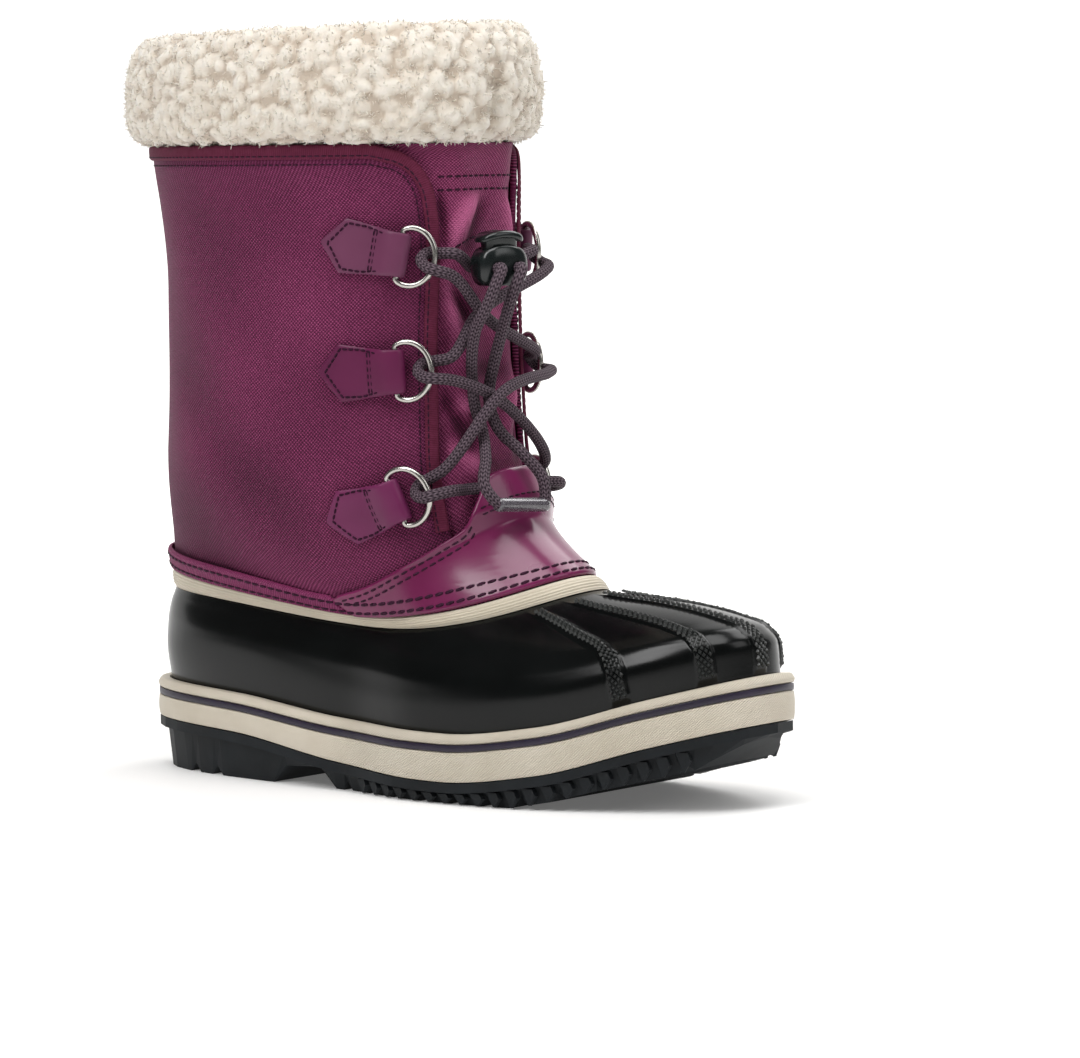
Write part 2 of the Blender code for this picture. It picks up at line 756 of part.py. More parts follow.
def make_hem():
    """The stitched strip along the shaft's lower edge, from the vamp round the back."""
    clear = turn_for(VAMP_REACH, 1.1, FIT_GAP)
    first, last = VAMP_REACH + clear, 1 - VAMP_REACH - clear
    shared = [turn for turn in leg_turns(1.1) if first + 0.008 < turn < last - 0.008]
    turns = np.array([first, *shared, last])
    low, high = RAND_HEIGHT + FIT_GAP, RAND_HEIGHT + FIT_GAP + HEM_HEIGHT
    heights = [level_at(turns, low + (high - low) * share) for share in (0.0, 0.5, 1.0)]
    outer = np.stack([skin(turns, h, FIT_GAP + LEATHER * b) for h, b in zip(heights, (0.8, 1.1, 0.8))])
    inner = np.stack([skin(turns, h, FIT_GAP) for h in heights])
    return add_wall("hem_strip", outer, inner, "nylon")


def make_vamp():
    """The smooth leather over the instep, with the lace tab that stands off its top."""
    shares = (0, 0.10, 0.19, 0.27, 0.36, 0.45, 0.54, 0.64, 0.76, 0.89, 1.0)
    half = [VAMP_REACH * share for share in shares]
    turns = np.array([-turn for turn in half[:0:-1]] + half)
    low = level_at(turns, RAND_HEIGHT + FIT_GAP)
    top = column(VAMP_TOP, 1, np.abs(turns))
    climb = np.array([0.0, 0.18, 0.36, 0.54, 0.76, 1.0])
    heights = low[None, :] + (top - low)[None, :] * climb[:, None]
    grid = np.repeat(turns[None, :], len(climb), axis=0)
    stand = TAB_STAND * np.clip((heights - 1.20) / 0.04, 0, 1)
    outer = skin(grid, heights, 2 * FIT_GAP + LEATHER + stand)
    inner = skin(grid, heights, 2 * FIT_GAP + stand)
    return add_wall("vamp", outer, inner, "leather")


def make_binding():
    """The tape round the quarters' front and top edges, from vamp to vamp."""
    start = 1.235
    climb = [start, *(level for level in LEG_LEVELS if start < level < 2.0)]
    edge = [(float(throat_half(level)), level) for level in climb]
    edge += [(turn, 2.0) for turn in leg_turns(2.0) if float(throat_half(2.0)) <= turn <= 0.5001]
    edge += [(1 - turn, level) for turn, level in edge[-2::-1]]
    edge = np.array(edge)
    points = surface(edge[:, 0], edge[:, 1])
    inner_edge = []
    for i, (turn, level) in enumerate(edge):
        before, after = points[max(i - 1, 0)], points[min(i + 1, len(edge) - 1)]
        along = (after - before) / np.linalg.norm(after - before)
        across = np.cross(outward(np.array(turn), np.array(level)), along)
        across = across if across[2] < 0 or abs(across[2]) < 0.3 else -across
        if level < 1.9:
            across = across if (across[1] < 0) == (turn < 0.5) else -across
        per_turn = surface(np.array(turn + 0.002), np.array(level)) - surface(np.array(turn), np.array(level))
        per_level = surface(np.array(turn), np.array(level)) - surface(np.array(turn), np.array(level - 0.01))
        basis = np.stack([per_turn / 0.002, per_level / 0.01], axis=1)
        move = np.linalg.lstsq(basis, across * BINDING_WIDTH, rcond=None)[0]
        inner_edge.append((turn + move[0], level + move[1]))
    inner_edge = np.array(inner_edge)
    middle = (edge + inner_edge) / 2
    rows = [edge, middle, inner_edge]
    outer = np.stack([skin(r[:, 0], r[:, 1], FIT_GAP + TAPE * b) for r, b in zip(rows, (0.7, 1.0, 0.7))])
    inner = np.stack([skin(r[:, 0], r[:, 1], FIT_GAP) for r in rows])
    return add_wall("binding", outer, inner, "binding_tape")


def make_tongue():
    """The tongue behind the throat: its sides lie under the quarters and its middle is flat."""
    levels = [level for level in LEG_LEVELS if level >= 1.15]
    widest = float(throat_half(1.88))
    under = LEG_WALL + 2 * FIT_GAP
    turns, out = [], []
    for level in levels:
        edge = float(throat_half(level)) if level <= 1.88 else widest
        lap = edge + THROAT_LAP
        turns.append([-lap, -edge, -edge / 2, 0.0, edge / 2, edge, lap])
        open_share = min(max((level - 1.20) / 0.06, 0.0), 1.0)
        middle = -under - (TONGUE_SET - under) * open_share
        half_way = -under + (under - 0.0014) * open_share
        out.append([-under, -under, half_way, middle, half_way, -under, -under])
    turns, out = np.array(turns), np.array(out)
    heights = np.repeat(np.array(levels)[:, None], turns.shape[1], axis=1)
    outer = skin(turns, heights, out)
    inner = skin(turns, heights, out - TONGUE_WALL)
    return add_wall("tongue", outer, inner, "nylon")


def make_backstay():
    """The strip up the back: narrow piping, wider under the collar."""
    rows = [(1.0, PIPING_WIDTH), (1.751, PIPING_WIDTH), (1.759, BACKSTAY_WIDTH), (2.0, BACKSTAY_WIDTH)]
    low = float(level_at(0.5, RAND_HEIGHT + HEM_HEIGHT + 3 * FIT_GAP)[0])
    levels = [low, *(level for level in LEG_LEVELS if low + 0.02 < level < 1.95)]
    levels[-2:] = [1.75, 1.75 + 0.01, 1.88, 1.955]
    grid, heights = [], []
    for level in levels:
        width = float(straight_column(rows, 1, level))
        half = turn_for(0.5, level, width) / 2
        grid.append([0.5 - half, 0.5, 0.5 + half])
        heights.append([level] * 3)
    grid, heights = np.array(grid), np.array(heights)
    lift = np.array([0.6, 1.0, 0.6])[None, :] * TAPE
    return add_wall(
        "backstay", skin(grid, heights, FIT_GAP + lift), skin(grid, heights, FIT_GAP), "nylon"
    )


def local_axes(turn, level, tilt, side):
    """Origin, forward, up and out at a place on the leg, with forward tilted up by an angle."""
    turn, level = np.array(turn), np.array(level)
    origin = surface(turn, level)
    out = outward(turn, level)
    ahead = surface(turn - 0.004 * side, level) - surface(turn + 0.004 * side, level)
    ahead -= out * float(np.dot(ahead, out))
    ahead[2] = 0.0
    ahead /= np.linalg.norm(ahead)
    up = np.cross(out, ahead)
    up = up if up[2] > 0 else -up
    angle = math.radians(tilt)
    forward = ahead * math.cos(angle) + up * math.sin(angle)
    upward = up * math.cos(angle) - ahead * math.sin(angle)
    return origin, forward, upward, out


def wrapped(turn, level, tilt, side, along, across, out):
    """A point laid on the leg: along and across are distances on the surface from one place."""
    origin, forward, upward, _ = local_axes(turn, level, tilt, side)
    per_turn = (surface(np.array(turn + 0.002), np.array(level)) - origin) / 0.002
    per_level = (surface(np.array(turn), np.array(level + 0.01)) - origin) / 0.01
    basis = np.stack([per_turn, per_level], axis=1)
    move = np.linalg.lstsq(basis, forward * along + upward * across, rcond=None)[0]
    return skin(np.array(turn + move[0]), np.array(level + move[1]), np.array(out))


def make_tab(name, turn, level, tilt, side):
    """A folded leather tab: a house-shaped flap on the quarter, then a loop round the ring's wire."""
    wire = RING_WIRE / 2
    bore = wire + FIT_GAP
    seat = FIT_GAP + LEATHER + FIT_GAP / 2
    axis_out = seat + bore
    top_out = axis_out + bore + LEATHER
    flap = [
        # distance behind the wire, middle height of the flap, half height share
        (-TAB_LENGTH, FIT_GAP + LEATHER / 2, 0.06),
        (-TAB_LENGTH + TAB_POINT, FIT_GAP + LEATHER / 2, 0.98),
        (-TAB_LENGTH * 0.52, FIT_GAP + LEATHER / 2, 1.0),
        (-TAB_LENGTH * 0.30, FIT_GAP + LEATHER / 2 + (top_out - FIT_GAP - LEATHER) * 0.45, 0.92),
        (-TAB_LENGTH * 0.14, top_out - LEATHER / 2 - 0.0001, 0.85),
    ]
    loop_half = TAB_LOOP_HEIGHT / TAB_HEIGHT
    centre_line = [(a, o, h) for a, o, h in flap]
    for angle in (90, 45, 0, -45, -90):
        reach = bore + LEATHER / 2
        centre_line.append((
            reach * math.cos(math.radians(angle)),
            axis_out + reach * math.sin(math.radians(angle)),
            loop_half,
        ))
    centre_line.append((-TAB_TAIL * 0.55, axis_out - bore - LEATHER / 2, loop_half))
    centre = np.array([(a, o) for a, o, _ in centre_line])
    ahead = np.gradient(centre, axis=0)
    ahead /= np.linalg.norm(ahead, axis=1, keepdims=True)
    normal = np.stack([-ahead[:, 1], ahead[:, 0]], axis=1)
    thick = LEATHER / 2
    upper, lower = centre + normal * thick, centre - normal * thick
    corners = []
    for i, (_, _, share) in enumerate(centre_line):
        half = TAB_HEIGHT / 2 * share
        ring = [(upper[i], half), (upper[i], -half), (lower[i], -half), (lower[i], half)]
        corners.append([wrapped(turn, level, tilt, side, at[0], across, at[1]) for at, across in ring])
    return add_stack(name, corners, "leather")


def ring_path(steps=13):
    """The D of a ring: a straight bar at 0 and a rounded front, in forward and up distances."""
    half = RING_HEIGHT / 2 - RING_WIRE / 2
    reach = RING_REACH
    bar = TAB_LOOP_HEIGHT / 2 + FIT_GAP
    path = [(0.0, -bar), (0.0, bar)]
    for i in range(steps - 2):
        angle = math.radians(100 - 200 * i / (steps - 3))
        path.append((reach * (0.30 + 0.70 * math.cos(angle)), half * math.sin(angle)))
    return path


def make_ring(name, turn, level, tilt, side):
    """A wire D-ring that stands in its tab's loop."""
    origin, forward, upward, out = local_axes(turn, level, tilt, side)
    seat = FIT_GAP + LEATHER + FIT_GAP / 2 + RING_WIRE / 2 + FIT_GAP
    centre = [origin + out * seat + forward * a + upward * b for a, b in ring_path()]
    sections = []
    for i, point in enumerate(centre):
        ahead = centre[(i + 1) % len(centre)] - centre[i - 1]
        ahead /= np.linalg.norm(ahead)
        across = np.cross(ahead, out)
        across /= np.linalg.norm(across)
        sides = 6
        sections.append([
            point
            + RING_WIRE / 2 * math.cos(2 * math.pi * k / sides) * out
            + RING_WIRE / 2 * math.sin(2 * math.pi * k / sides) * across
            for k in range(sides)
        ])
    return add_hoop(name, sections, "wire")


def make_liner():
    """The felt inner boot, closed underneath, with room for the foot."""
    turns = spread(24)
    foot_depth = SHELL_WALL + LINER_GAP
    leg_depth = max(LEG_WALL, TONGUE_SET) + TONGUE_WALL + LINER_GAP
    loops = [sole_ring(turns, np.full(len(turns), -foot_depth), FIT_GAP)]
    outer_levels = [(level, foot_depth) for level in (0.12, 0.42, 0.72)]
    outer_levels += [(level, leg_depth) for level in (0.97, 1.10, 1.22, 1.42, 1.75, 1.99)]
    for level, depth in outer_levels:
        loops.append(skin(turns, level, -depth))
    for level, depth in reversed(outer_levels):
        loops.append(skin(turns, level, -depth - LINER_WALL))
    loops.append(sole_ring(turns, np.full(len(turns), -foot_depth - LINER_WALL), FIT_GAP + LINER_WALL))
    size = len(turns)
    first = ladder_cap(0, size, True)
    last = ladder_cap((len(loops) - 1) * size, size, False)
    return add_stack("liner", np.array(loops), "felt", first, last)


def cuff_lump(turn, row):
    """Curls of the fleece: waves that don't line up from row to row."""
    angle = 2 * math.pi * turn
    wave = np.sin(19 * angle + 1.7 * row) + 0.7 * np.sin(11 * angle - 2.3 * row)
    return CUFF_LUMP * wave / 1.7


def make_cuff():
    """The curly fleece collar, a thick hoop that stands on the leg's top edge."""
    turns = np.arange(44) / 44
    base = surface(turns, 2.0)
    side_out = outward(turns, np.full(len(turns), 2.0))
    side_out[:, 2] = 0.0
    side_out /= np.linalg.norm(side_out, axis=1, keepdims=True)
    seam = np.exp(-((((turns - 0.012 + 0.5) % 1.0) - 0.5) / 0.010) ** 2)
    lean = 1.0 + 0.10 * (np.cos(2 * math.pi * turns) - 1) / 2
    sections = []
    for row, (out_share, height_share) in enumerate(CUFF_PROFILE):
        reach = out_share * (CUFF_OUT if out_share > 0 else CUFF_IN)
        lump = cuff_lump(turns, row) * (0.0 if height_share == 0 else 1.0)
        swell = lump * (1.0 if out_share > 0 else 0.5) - seam * 0.0030 * (out_share > 0)
        out = reach + swell * np.sign(out_share)
        points = base + side_out * out[:, None]
        points[:, 2] = LEG_HEIGHT + 2 * FIT_GAP + CUFF_HEIGHT * height_share * lean
        points[:, 2] += lump * 0.6 * (height_share > 0.5)
        sections.append(points)
    return add_hoop("cuff", np.stack(sections, axis=1), "fleece")


def ring_end(place, side, across):
    """A point in front of a ring, where a lace piece ends clear of the wire."""
    row = next(row for row in LACE_STATIONS if row[0] == place)
    _, turn, level, tilt = row
    around = turn if side > 0 else 1 - turn
    origin, forward, upward, out = local_axes(around, level, tilt, side)
    seat = FIT_GAP + LEATHER + FIT_GAP / 2 + RING_WIRE / 2 + FIT_GAP
    return origin + out * seat + forward * (RING_REACH + LACE_CLEAR) + upward * across


def ring_axis(place, side):
    """The direction from a ring's bar to its front."""
    row = next(row for row in LACE_STATIONS if row[0] == place)
    _, turn, level, tilt = row
    return local_axes(turn if side > 0 else 1 - turn, level, tilt, side)[1]


def curve_points(route, count):
    """Points at even distances on a smooth curve through the route's points."""
    route = np.array(route, float)
    at = np.concatenate([[0.0], np.cumsum(np.linalg.norm(np.diff(route, axis=0), axis=1))])
    slope = np.gradient(route, at, axis=0)
    fine = []
    for i in range(len(route) - 1):
        step = at[i + 1] - at[i]
        for t in np.linspace(0, 1, 24, endpoint=i == len(route) - 2):
            start = (2 * t**3 - 3 * t**2 + 1) * route[i] + (t**3 - 2 * t**2 + t) * step * slope[i]
            end = (3 * t**2 - 2 * t**3) * route[i + 1] + (t**3 - t**2) * step * slope[i + 1]
            fine.append(start + end)
    fine = np.array(fine)
    along = np.concatenate([[0.0], np.cumsum(np.linalg.norm(np.diff(fine, axis=0), axis=1))])
    even = np.linspace(0, along[-1], count)
    return np.stack([np.interp(even, along, fine[:, k]) for k in range(3)], axis=1)


def add_strand(name, route, count=7, sides=6):
    """A round strand of the lace with flat ends."""
    points = curve_points(route, count)
    ahead = np.gradient(points, axis=0)
    ahead /= np.linalg.norm(ahead, axis=1, keepdims=True)
    side = np.cross(ahead[0], (0.0, 0.0, 1.0))
    loops = []
    for point, direction in zip(points, ahead):
        side = side - direction * np.dot(side, direction)
        side /= np.linalg.norm(side)
        third = np.cross(direction, side)
        loops.append([
            point + LACE_WIDTH / 2 * (math.cos(angle) * side + math.sin(angle) * third)
            for angle in (2 * math.pi * k / sides for k in range(sides))
        ])
    return add_stack(name, loops, "lace_braid")


def hidden_tool(solid):
    solid.hide_render = True
    solid.display_type = "WIRE"
    return solid


def combine(solid, tool, operation):
    modifier = solid.modifiers.new(tool.name, "BOOLEAN")
    modifier.object = hidden_tool(tool)
    modifier.operation = operation
    modifier.solver = "EXACT"


def lace_start(place, side, across):
    """The first two points of a strand that leaves a ring."""
    start = ring_end(place, side, across)
    ahead = ring_end(place, side, across) - ring_end(place, side, across - 0.001)
    outwards = ring_axis(place, side)
    return [start, start + outwards * LACE_WIDTH / 2 + ahead * 0.5]


def make_lace():
    """The lace from ring to ring: a bar below, two crossings and a bar to each side of the lock."""
    gap = LACE_SPACE
    row = [skin(u, level, out) for u, level, out in BAR_LOW]
    mirrored = [skin(1 - u, level, out) for u, level, out in BAR_LOW[-2::-1]]
    ends = [ring_end("low", side, -gap) for side in (1, -1)]
    add_strand("lace_bar_low", [ends[0], *row, *mirrored, ends[1]], 13)
    for place, above in (("low", "mid"), ("mid", "top")):
        strands = []
        for side in (1, -1):
            last = lace_start(above, -side, -gap)
            route = [*lace_start(place, side, gap), skin(*CROSSINGS[place]), *last[::-1]]
            name = f"lace_cross_{place}" if side > 0 else f"tool_cross_{place}"
            strands.append(add_strand(name, route))
        combine(strands[0], strands[1], "UNION")
    tube_ends = skin(*LOCK_PLACE) + np.array(LOOP_TUBE_ENDS)
    for side, side_name in ((1, "lateral"), (-1, "medial")):
        across = -side * LOCK_BORE_SPACING / 2
        back = lock_point(across, -LOCK_DEPTH / 2 - LOCK_CLEAR, LOCK_BORE_HEIGHT)
        behind = lock_point(across, -LOCK_DEPTH / 2 - LACE_WIDTH, LOCK_BORE_HEIGHT)
        add_strand(f"lace_bar_{side_name}", [*lace_start("top", side, gap), behind, back], 6)
        bore_start = lock_point(across, -LOCK_DEPTH / 2 + FIT_GAP, LOCK_BORE_HEIGHT)
        front = lock_point(across, LOCK_DEPTH / 2 + LACE_WIDTH / 2, LOCK_BORE_HEIGHT)
        rows = skin(*LOCK_PLACE) + np.array(LOOP_LATERAL if side > 0 else LOOP_MEDIAL)
        near, far = tube_ends if side > 0 else tube_ends[::-1]
        along = (far - near) / np.linalg.norm(far - near)
        route = [front, *rows, near - along * LACE_WIDTH]
        points = [bore_start, *curve_points(route, LOOP_POINTS), near - along * FIT_GAP]
        add_cord(f"lace_loop_{side_name}", points, LACE_WIDTH, "lace_braid")
    add_cord("loop_tube", np.linspace(*tube_ends, 4), LOOP_TUBE_WIDTH, "clear_tube")


def add_cord(name, points, width, look):
    """A round cord along the points, with flat ends."""
    curve = bpy.data.curves.new(name, "CURVE")
    curve.dimensions = "3D"
    curve.bevel_depth = width / 2
    curve.bevel_resolution = 2
    curve.use_fill_caps = True
    spline = curve.splines.new("POLY")
    spline.points.add(len(points) - 1)
    for slot, point in zip(spline.points, points):
        slot.co = (*point, 1.0)
    cord = bpy.data.objects.new(name, curve)
    cord.data.materials.append(finish(look))
    bpy.context.scene.collection.objects.link(cord)
    return cord


def lock_point(across, ahead, up):
    """A point of the lock: across is towards the medial side, ahead is away from the leg."""
    turn = math.radians(LOCK_TURN)
    forward = np.array([math.cos(turn), math.sin(turn), 0.0])
    medial = np.array([-math.sin(turn), math.cos(turn), 0.0])
    return skin(*LOCK_PLACE) + medial * across + forward * ahead + np.array([0.0, 0.0, up])


def lock_loop(width, depth, up, shift=0.0, sides=20, roundness=3.2):
    """A rounded rectangle at one height of the lock."""
    along, across = oval(np.arange(sides) / sides, roundness)
    return [
        lock_point(c * width / 2, shift + a * depth / 2, up) for a, c in zip(along, across)
    ]


def make_lock():
    """The spring lock: a body with two cord holes and a well, and the button that dips into it."""
    top = LOCK_HEIGHT
    levels = [(0.0, 0.84), (0.10, 0.95), (0.30, 1.0), (0.80, 1.0), (0.95, 0.96), (1.0, 0.88)]
    loops = [lock_loop(LOCK_WIDTH * share, LOCK_DEPTH * share, top * up) for up, share in levels]
    body = add_stack("cord_lock", loops, "lock_plastic")
    well = [
        lock_loop(WELL_WIDTH, WELL_DEPTH, up, sides=12, roundness=4.0) for up in (top - WELL_SINK, top + 0.001)
    ]
    combine(body, add_stack("tool_well", well, "lock_plastic"), "DIFFERENCE")
    for side in (1, -1):
        bore = []
        for ahead in (-LOCK_DEPTH, LOCK_DEPTH):
            bore.append([
                lock_point(
                    side * LOCK_BORE_SPACING / 2 + LOCK_BORE / 2 * math.cos(2 * math.pi * k / 12),
                    ahead,
                    LOCK_BORE_HEIGHT + LOCK_BORE / 2 * math.sin(2 * math.pi * k / 12),
                )
                for k in range(12)
            ])
        combine(body, add_stack(f"tool_bore_{side}", bore, "lock_plastic"), "DIFFERENCE")
    origin = lock_point(0.0, 0.0, top + BUTTON_GAP)
    stem_width, stem_depth = WELL_WIDTH - 0.0008, WELL_DEPTH - 0.0008
    stack = [
        (-BUTTON_GAP - BUTTON_DIP, stem_width * 0.92, stem_depth * 0.92),
        (-BUTTON_GAP - BUTTON_DIP + 0.0004, stem_width, stem_depth),
        (-0.0003, stem_width, stem_depth),
        (0.0, BUTTON_WIDTH * 0.94, BUTTON_DEPTH * 0.94),
        (0.0006, BUTTON_WIDTH, BUTTON_DEPTH),
        (BUTTON_CAP * 0.7, BUTTON_WIDTH * 0.98, BUTTON_DEPTH * 0.98),
        (BUTTON_CAP, BUTTON_WIDTH * 0.84, BUTTON_DEPTH * 0.84),
    ]
    loops = [
        np.array(lock_loop(width, depth, top + BUTTON_GAP + up, sides=16, roundness=3.2)) - origin
        for up, width, depth in stack
    ]
    button = add_stack("lock_button", loops, "lock_plastic")
    button.location = tuple(origin)


def main():
    clear_scene()
    make_outsole()
    make_foxing()
    make_stripe()
    make_shell()
    make_rand()
    make_shaft()
    make_hem()
    make_vamp()
    make_binding()
    make_tongue()
    make_backstay()
    for side, side_name in ((1, "lateral"), (-1, "medial")):
        for place, turn, level, tilt in LACE_STATIONS:
            around = turn if side > 0 else 1 - turn
            make_tab(f"lace_tab_{side_name}_{place}", around, level, tilt, side)
            make_ring(f"d_ring_{side_name}_{place}", around, level, tilt, side)
    make_lace()
    make_lock()
    make_liner()
    make_cuff()


main()
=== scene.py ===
"""A child's snow boot for the right foot, dressed over its solids.

The toe points towards +X, the lateral side towards -Y and the floor is at Z = 0. Every visible piece is
built on one surface, the last, whose tables repeat those of the solids.
"""

import logging
import math
from dataclasses import dataclass, field
from enum import Enum
from functools import partial
from typing import Optional, Sequence

import bpy
import numpy as np
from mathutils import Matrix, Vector


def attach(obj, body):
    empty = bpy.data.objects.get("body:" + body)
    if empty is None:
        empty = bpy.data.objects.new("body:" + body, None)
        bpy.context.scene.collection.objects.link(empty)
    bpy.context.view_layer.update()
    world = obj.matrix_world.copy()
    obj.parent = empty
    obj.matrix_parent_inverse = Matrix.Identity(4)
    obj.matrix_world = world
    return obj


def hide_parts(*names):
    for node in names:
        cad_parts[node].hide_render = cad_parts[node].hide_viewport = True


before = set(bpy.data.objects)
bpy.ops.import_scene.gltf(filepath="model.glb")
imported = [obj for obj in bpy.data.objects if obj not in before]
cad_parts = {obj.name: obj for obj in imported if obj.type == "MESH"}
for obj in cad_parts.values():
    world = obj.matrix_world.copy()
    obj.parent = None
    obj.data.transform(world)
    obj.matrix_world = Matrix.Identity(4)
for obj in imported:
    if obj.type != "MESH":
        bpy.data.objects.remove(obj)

Array = np.ndarray
Object = bpy.types.Object
Material = bpy.types.Material
Node = bpy.types.Node
NodeTree = bpy.types.NodeTree
Socket = bpy.types.NodeSocket
LOG = logging.getLogger("snow_boot")
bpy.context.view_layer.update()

MM = 0.001
TAU = 2 * math.pi
# Small steps round the boot and up it, for directions on its surface.
TURN_STEP = 0.002
LEVEL_STEP = 0.01


class Side(Enum):
    """The two sides of the boot: the sign goes with the way round from the toe."""

    LATERAL = 1
    MEDIAL = -1


class Place(Enum):
    """The three heights at which the lace is held."""

    LOW = "low"
    MID = "mid"
    TOP = "top"


def smooth_table(knots: Sequence[float], values: Sequence[float], at: Array) -> Array:
    """Read a table through a monotone cubic.

    Args:
        knots: The table's places, rising.
        values: The value at each place.
        at: Where to read it.

    Returns:
        The values there, which never overshoot the rows.
    """
    knots = np.asarray(knots, float)
    values = np.asarray(values, float)
    step = np.diff(knots)
    slope = np.diff(values) / step
    tangent = np.zeros(len(knots))
    tangent[0] = slope[0]
    tangent[-1] = slope[-1]
    for i in range(1, len(knots) - 1):
        if slope[i - 1] * slope[i] > 0:
            before = 2 * step[i] + step[i - 1]
            after = step[i] + 2 * step[i - 1]
            tangent[i] = (before + after) / (before / slope[i - 1] + after / slope[i])
    at = np.clip(np.asarray(at, float), knots[0], knots[-1])
    i = np.clip(np.searchsorted(knots, at) - 1, 0, len(knots) - 2)
    t = (at - knots[i]) / step[i]
    start = (2 * t**3 - 3 * t**2 + 1) * values[i] + (t**3 - 2 * t**2 + t) * step[i] * tangent[i]
    end = (3 * t**2 - 2 * t**3) * values[i + 1] + (t**3 - t**2) * step[i] * tangent[i + 1]
    return start + end


def smooth_step(low: float, high: float, at: Array) -> Array:
    """A soft step from 0 below low to 1 above high."""
    t = np.clip((np.asarray(at, float) - low) / (high - low), 0, 1)
    return t * t * (3 - 2 * t)


def unit(rows: Array) -> Array:
    """The same directions, each of length 1."""
    return rows / np.linalg.norm(rows, axis=-1, keepdims=True)


def run_lengths(points: Array) -> Array:
    """How far along a line each of its points lies from the first one."""
    return np.concatenate([[0.0], np.cumsum(np.linalg.norm(np.diff(points, axis=0), axis=1))])


def spans(*parts: tuple) -> Array:
    """Evenly spaced numbers over several stretches: each has a first, a last and a count."""
    return np.concatenate([np.linspace(*part) for part in parts])


def add_object(name: str, data: bpy.types.ID) -> Object:
    """Put a new object with its data in the scene."""
    made = bpy.data.objects.new(name, data)
    bpy.context.scene.collection.objects.link(made)
    return made


def cells(rows: int, cols: int) -> tuple[Array, Array]:
    """The row and the column of every cell of a grid."""
    r, c = np.meshgrid(np.arange(rows), np.arange(cols), indexing="ij")
    return r.ravel(), c.ravel()


def corners(r: Array, c: Array) -> tuple:
    """Row and column of the four corners of cells, in order round each cell."""
    return (r, c), (r, c + 1), (r + 1, c + 1), (r + 1, c)


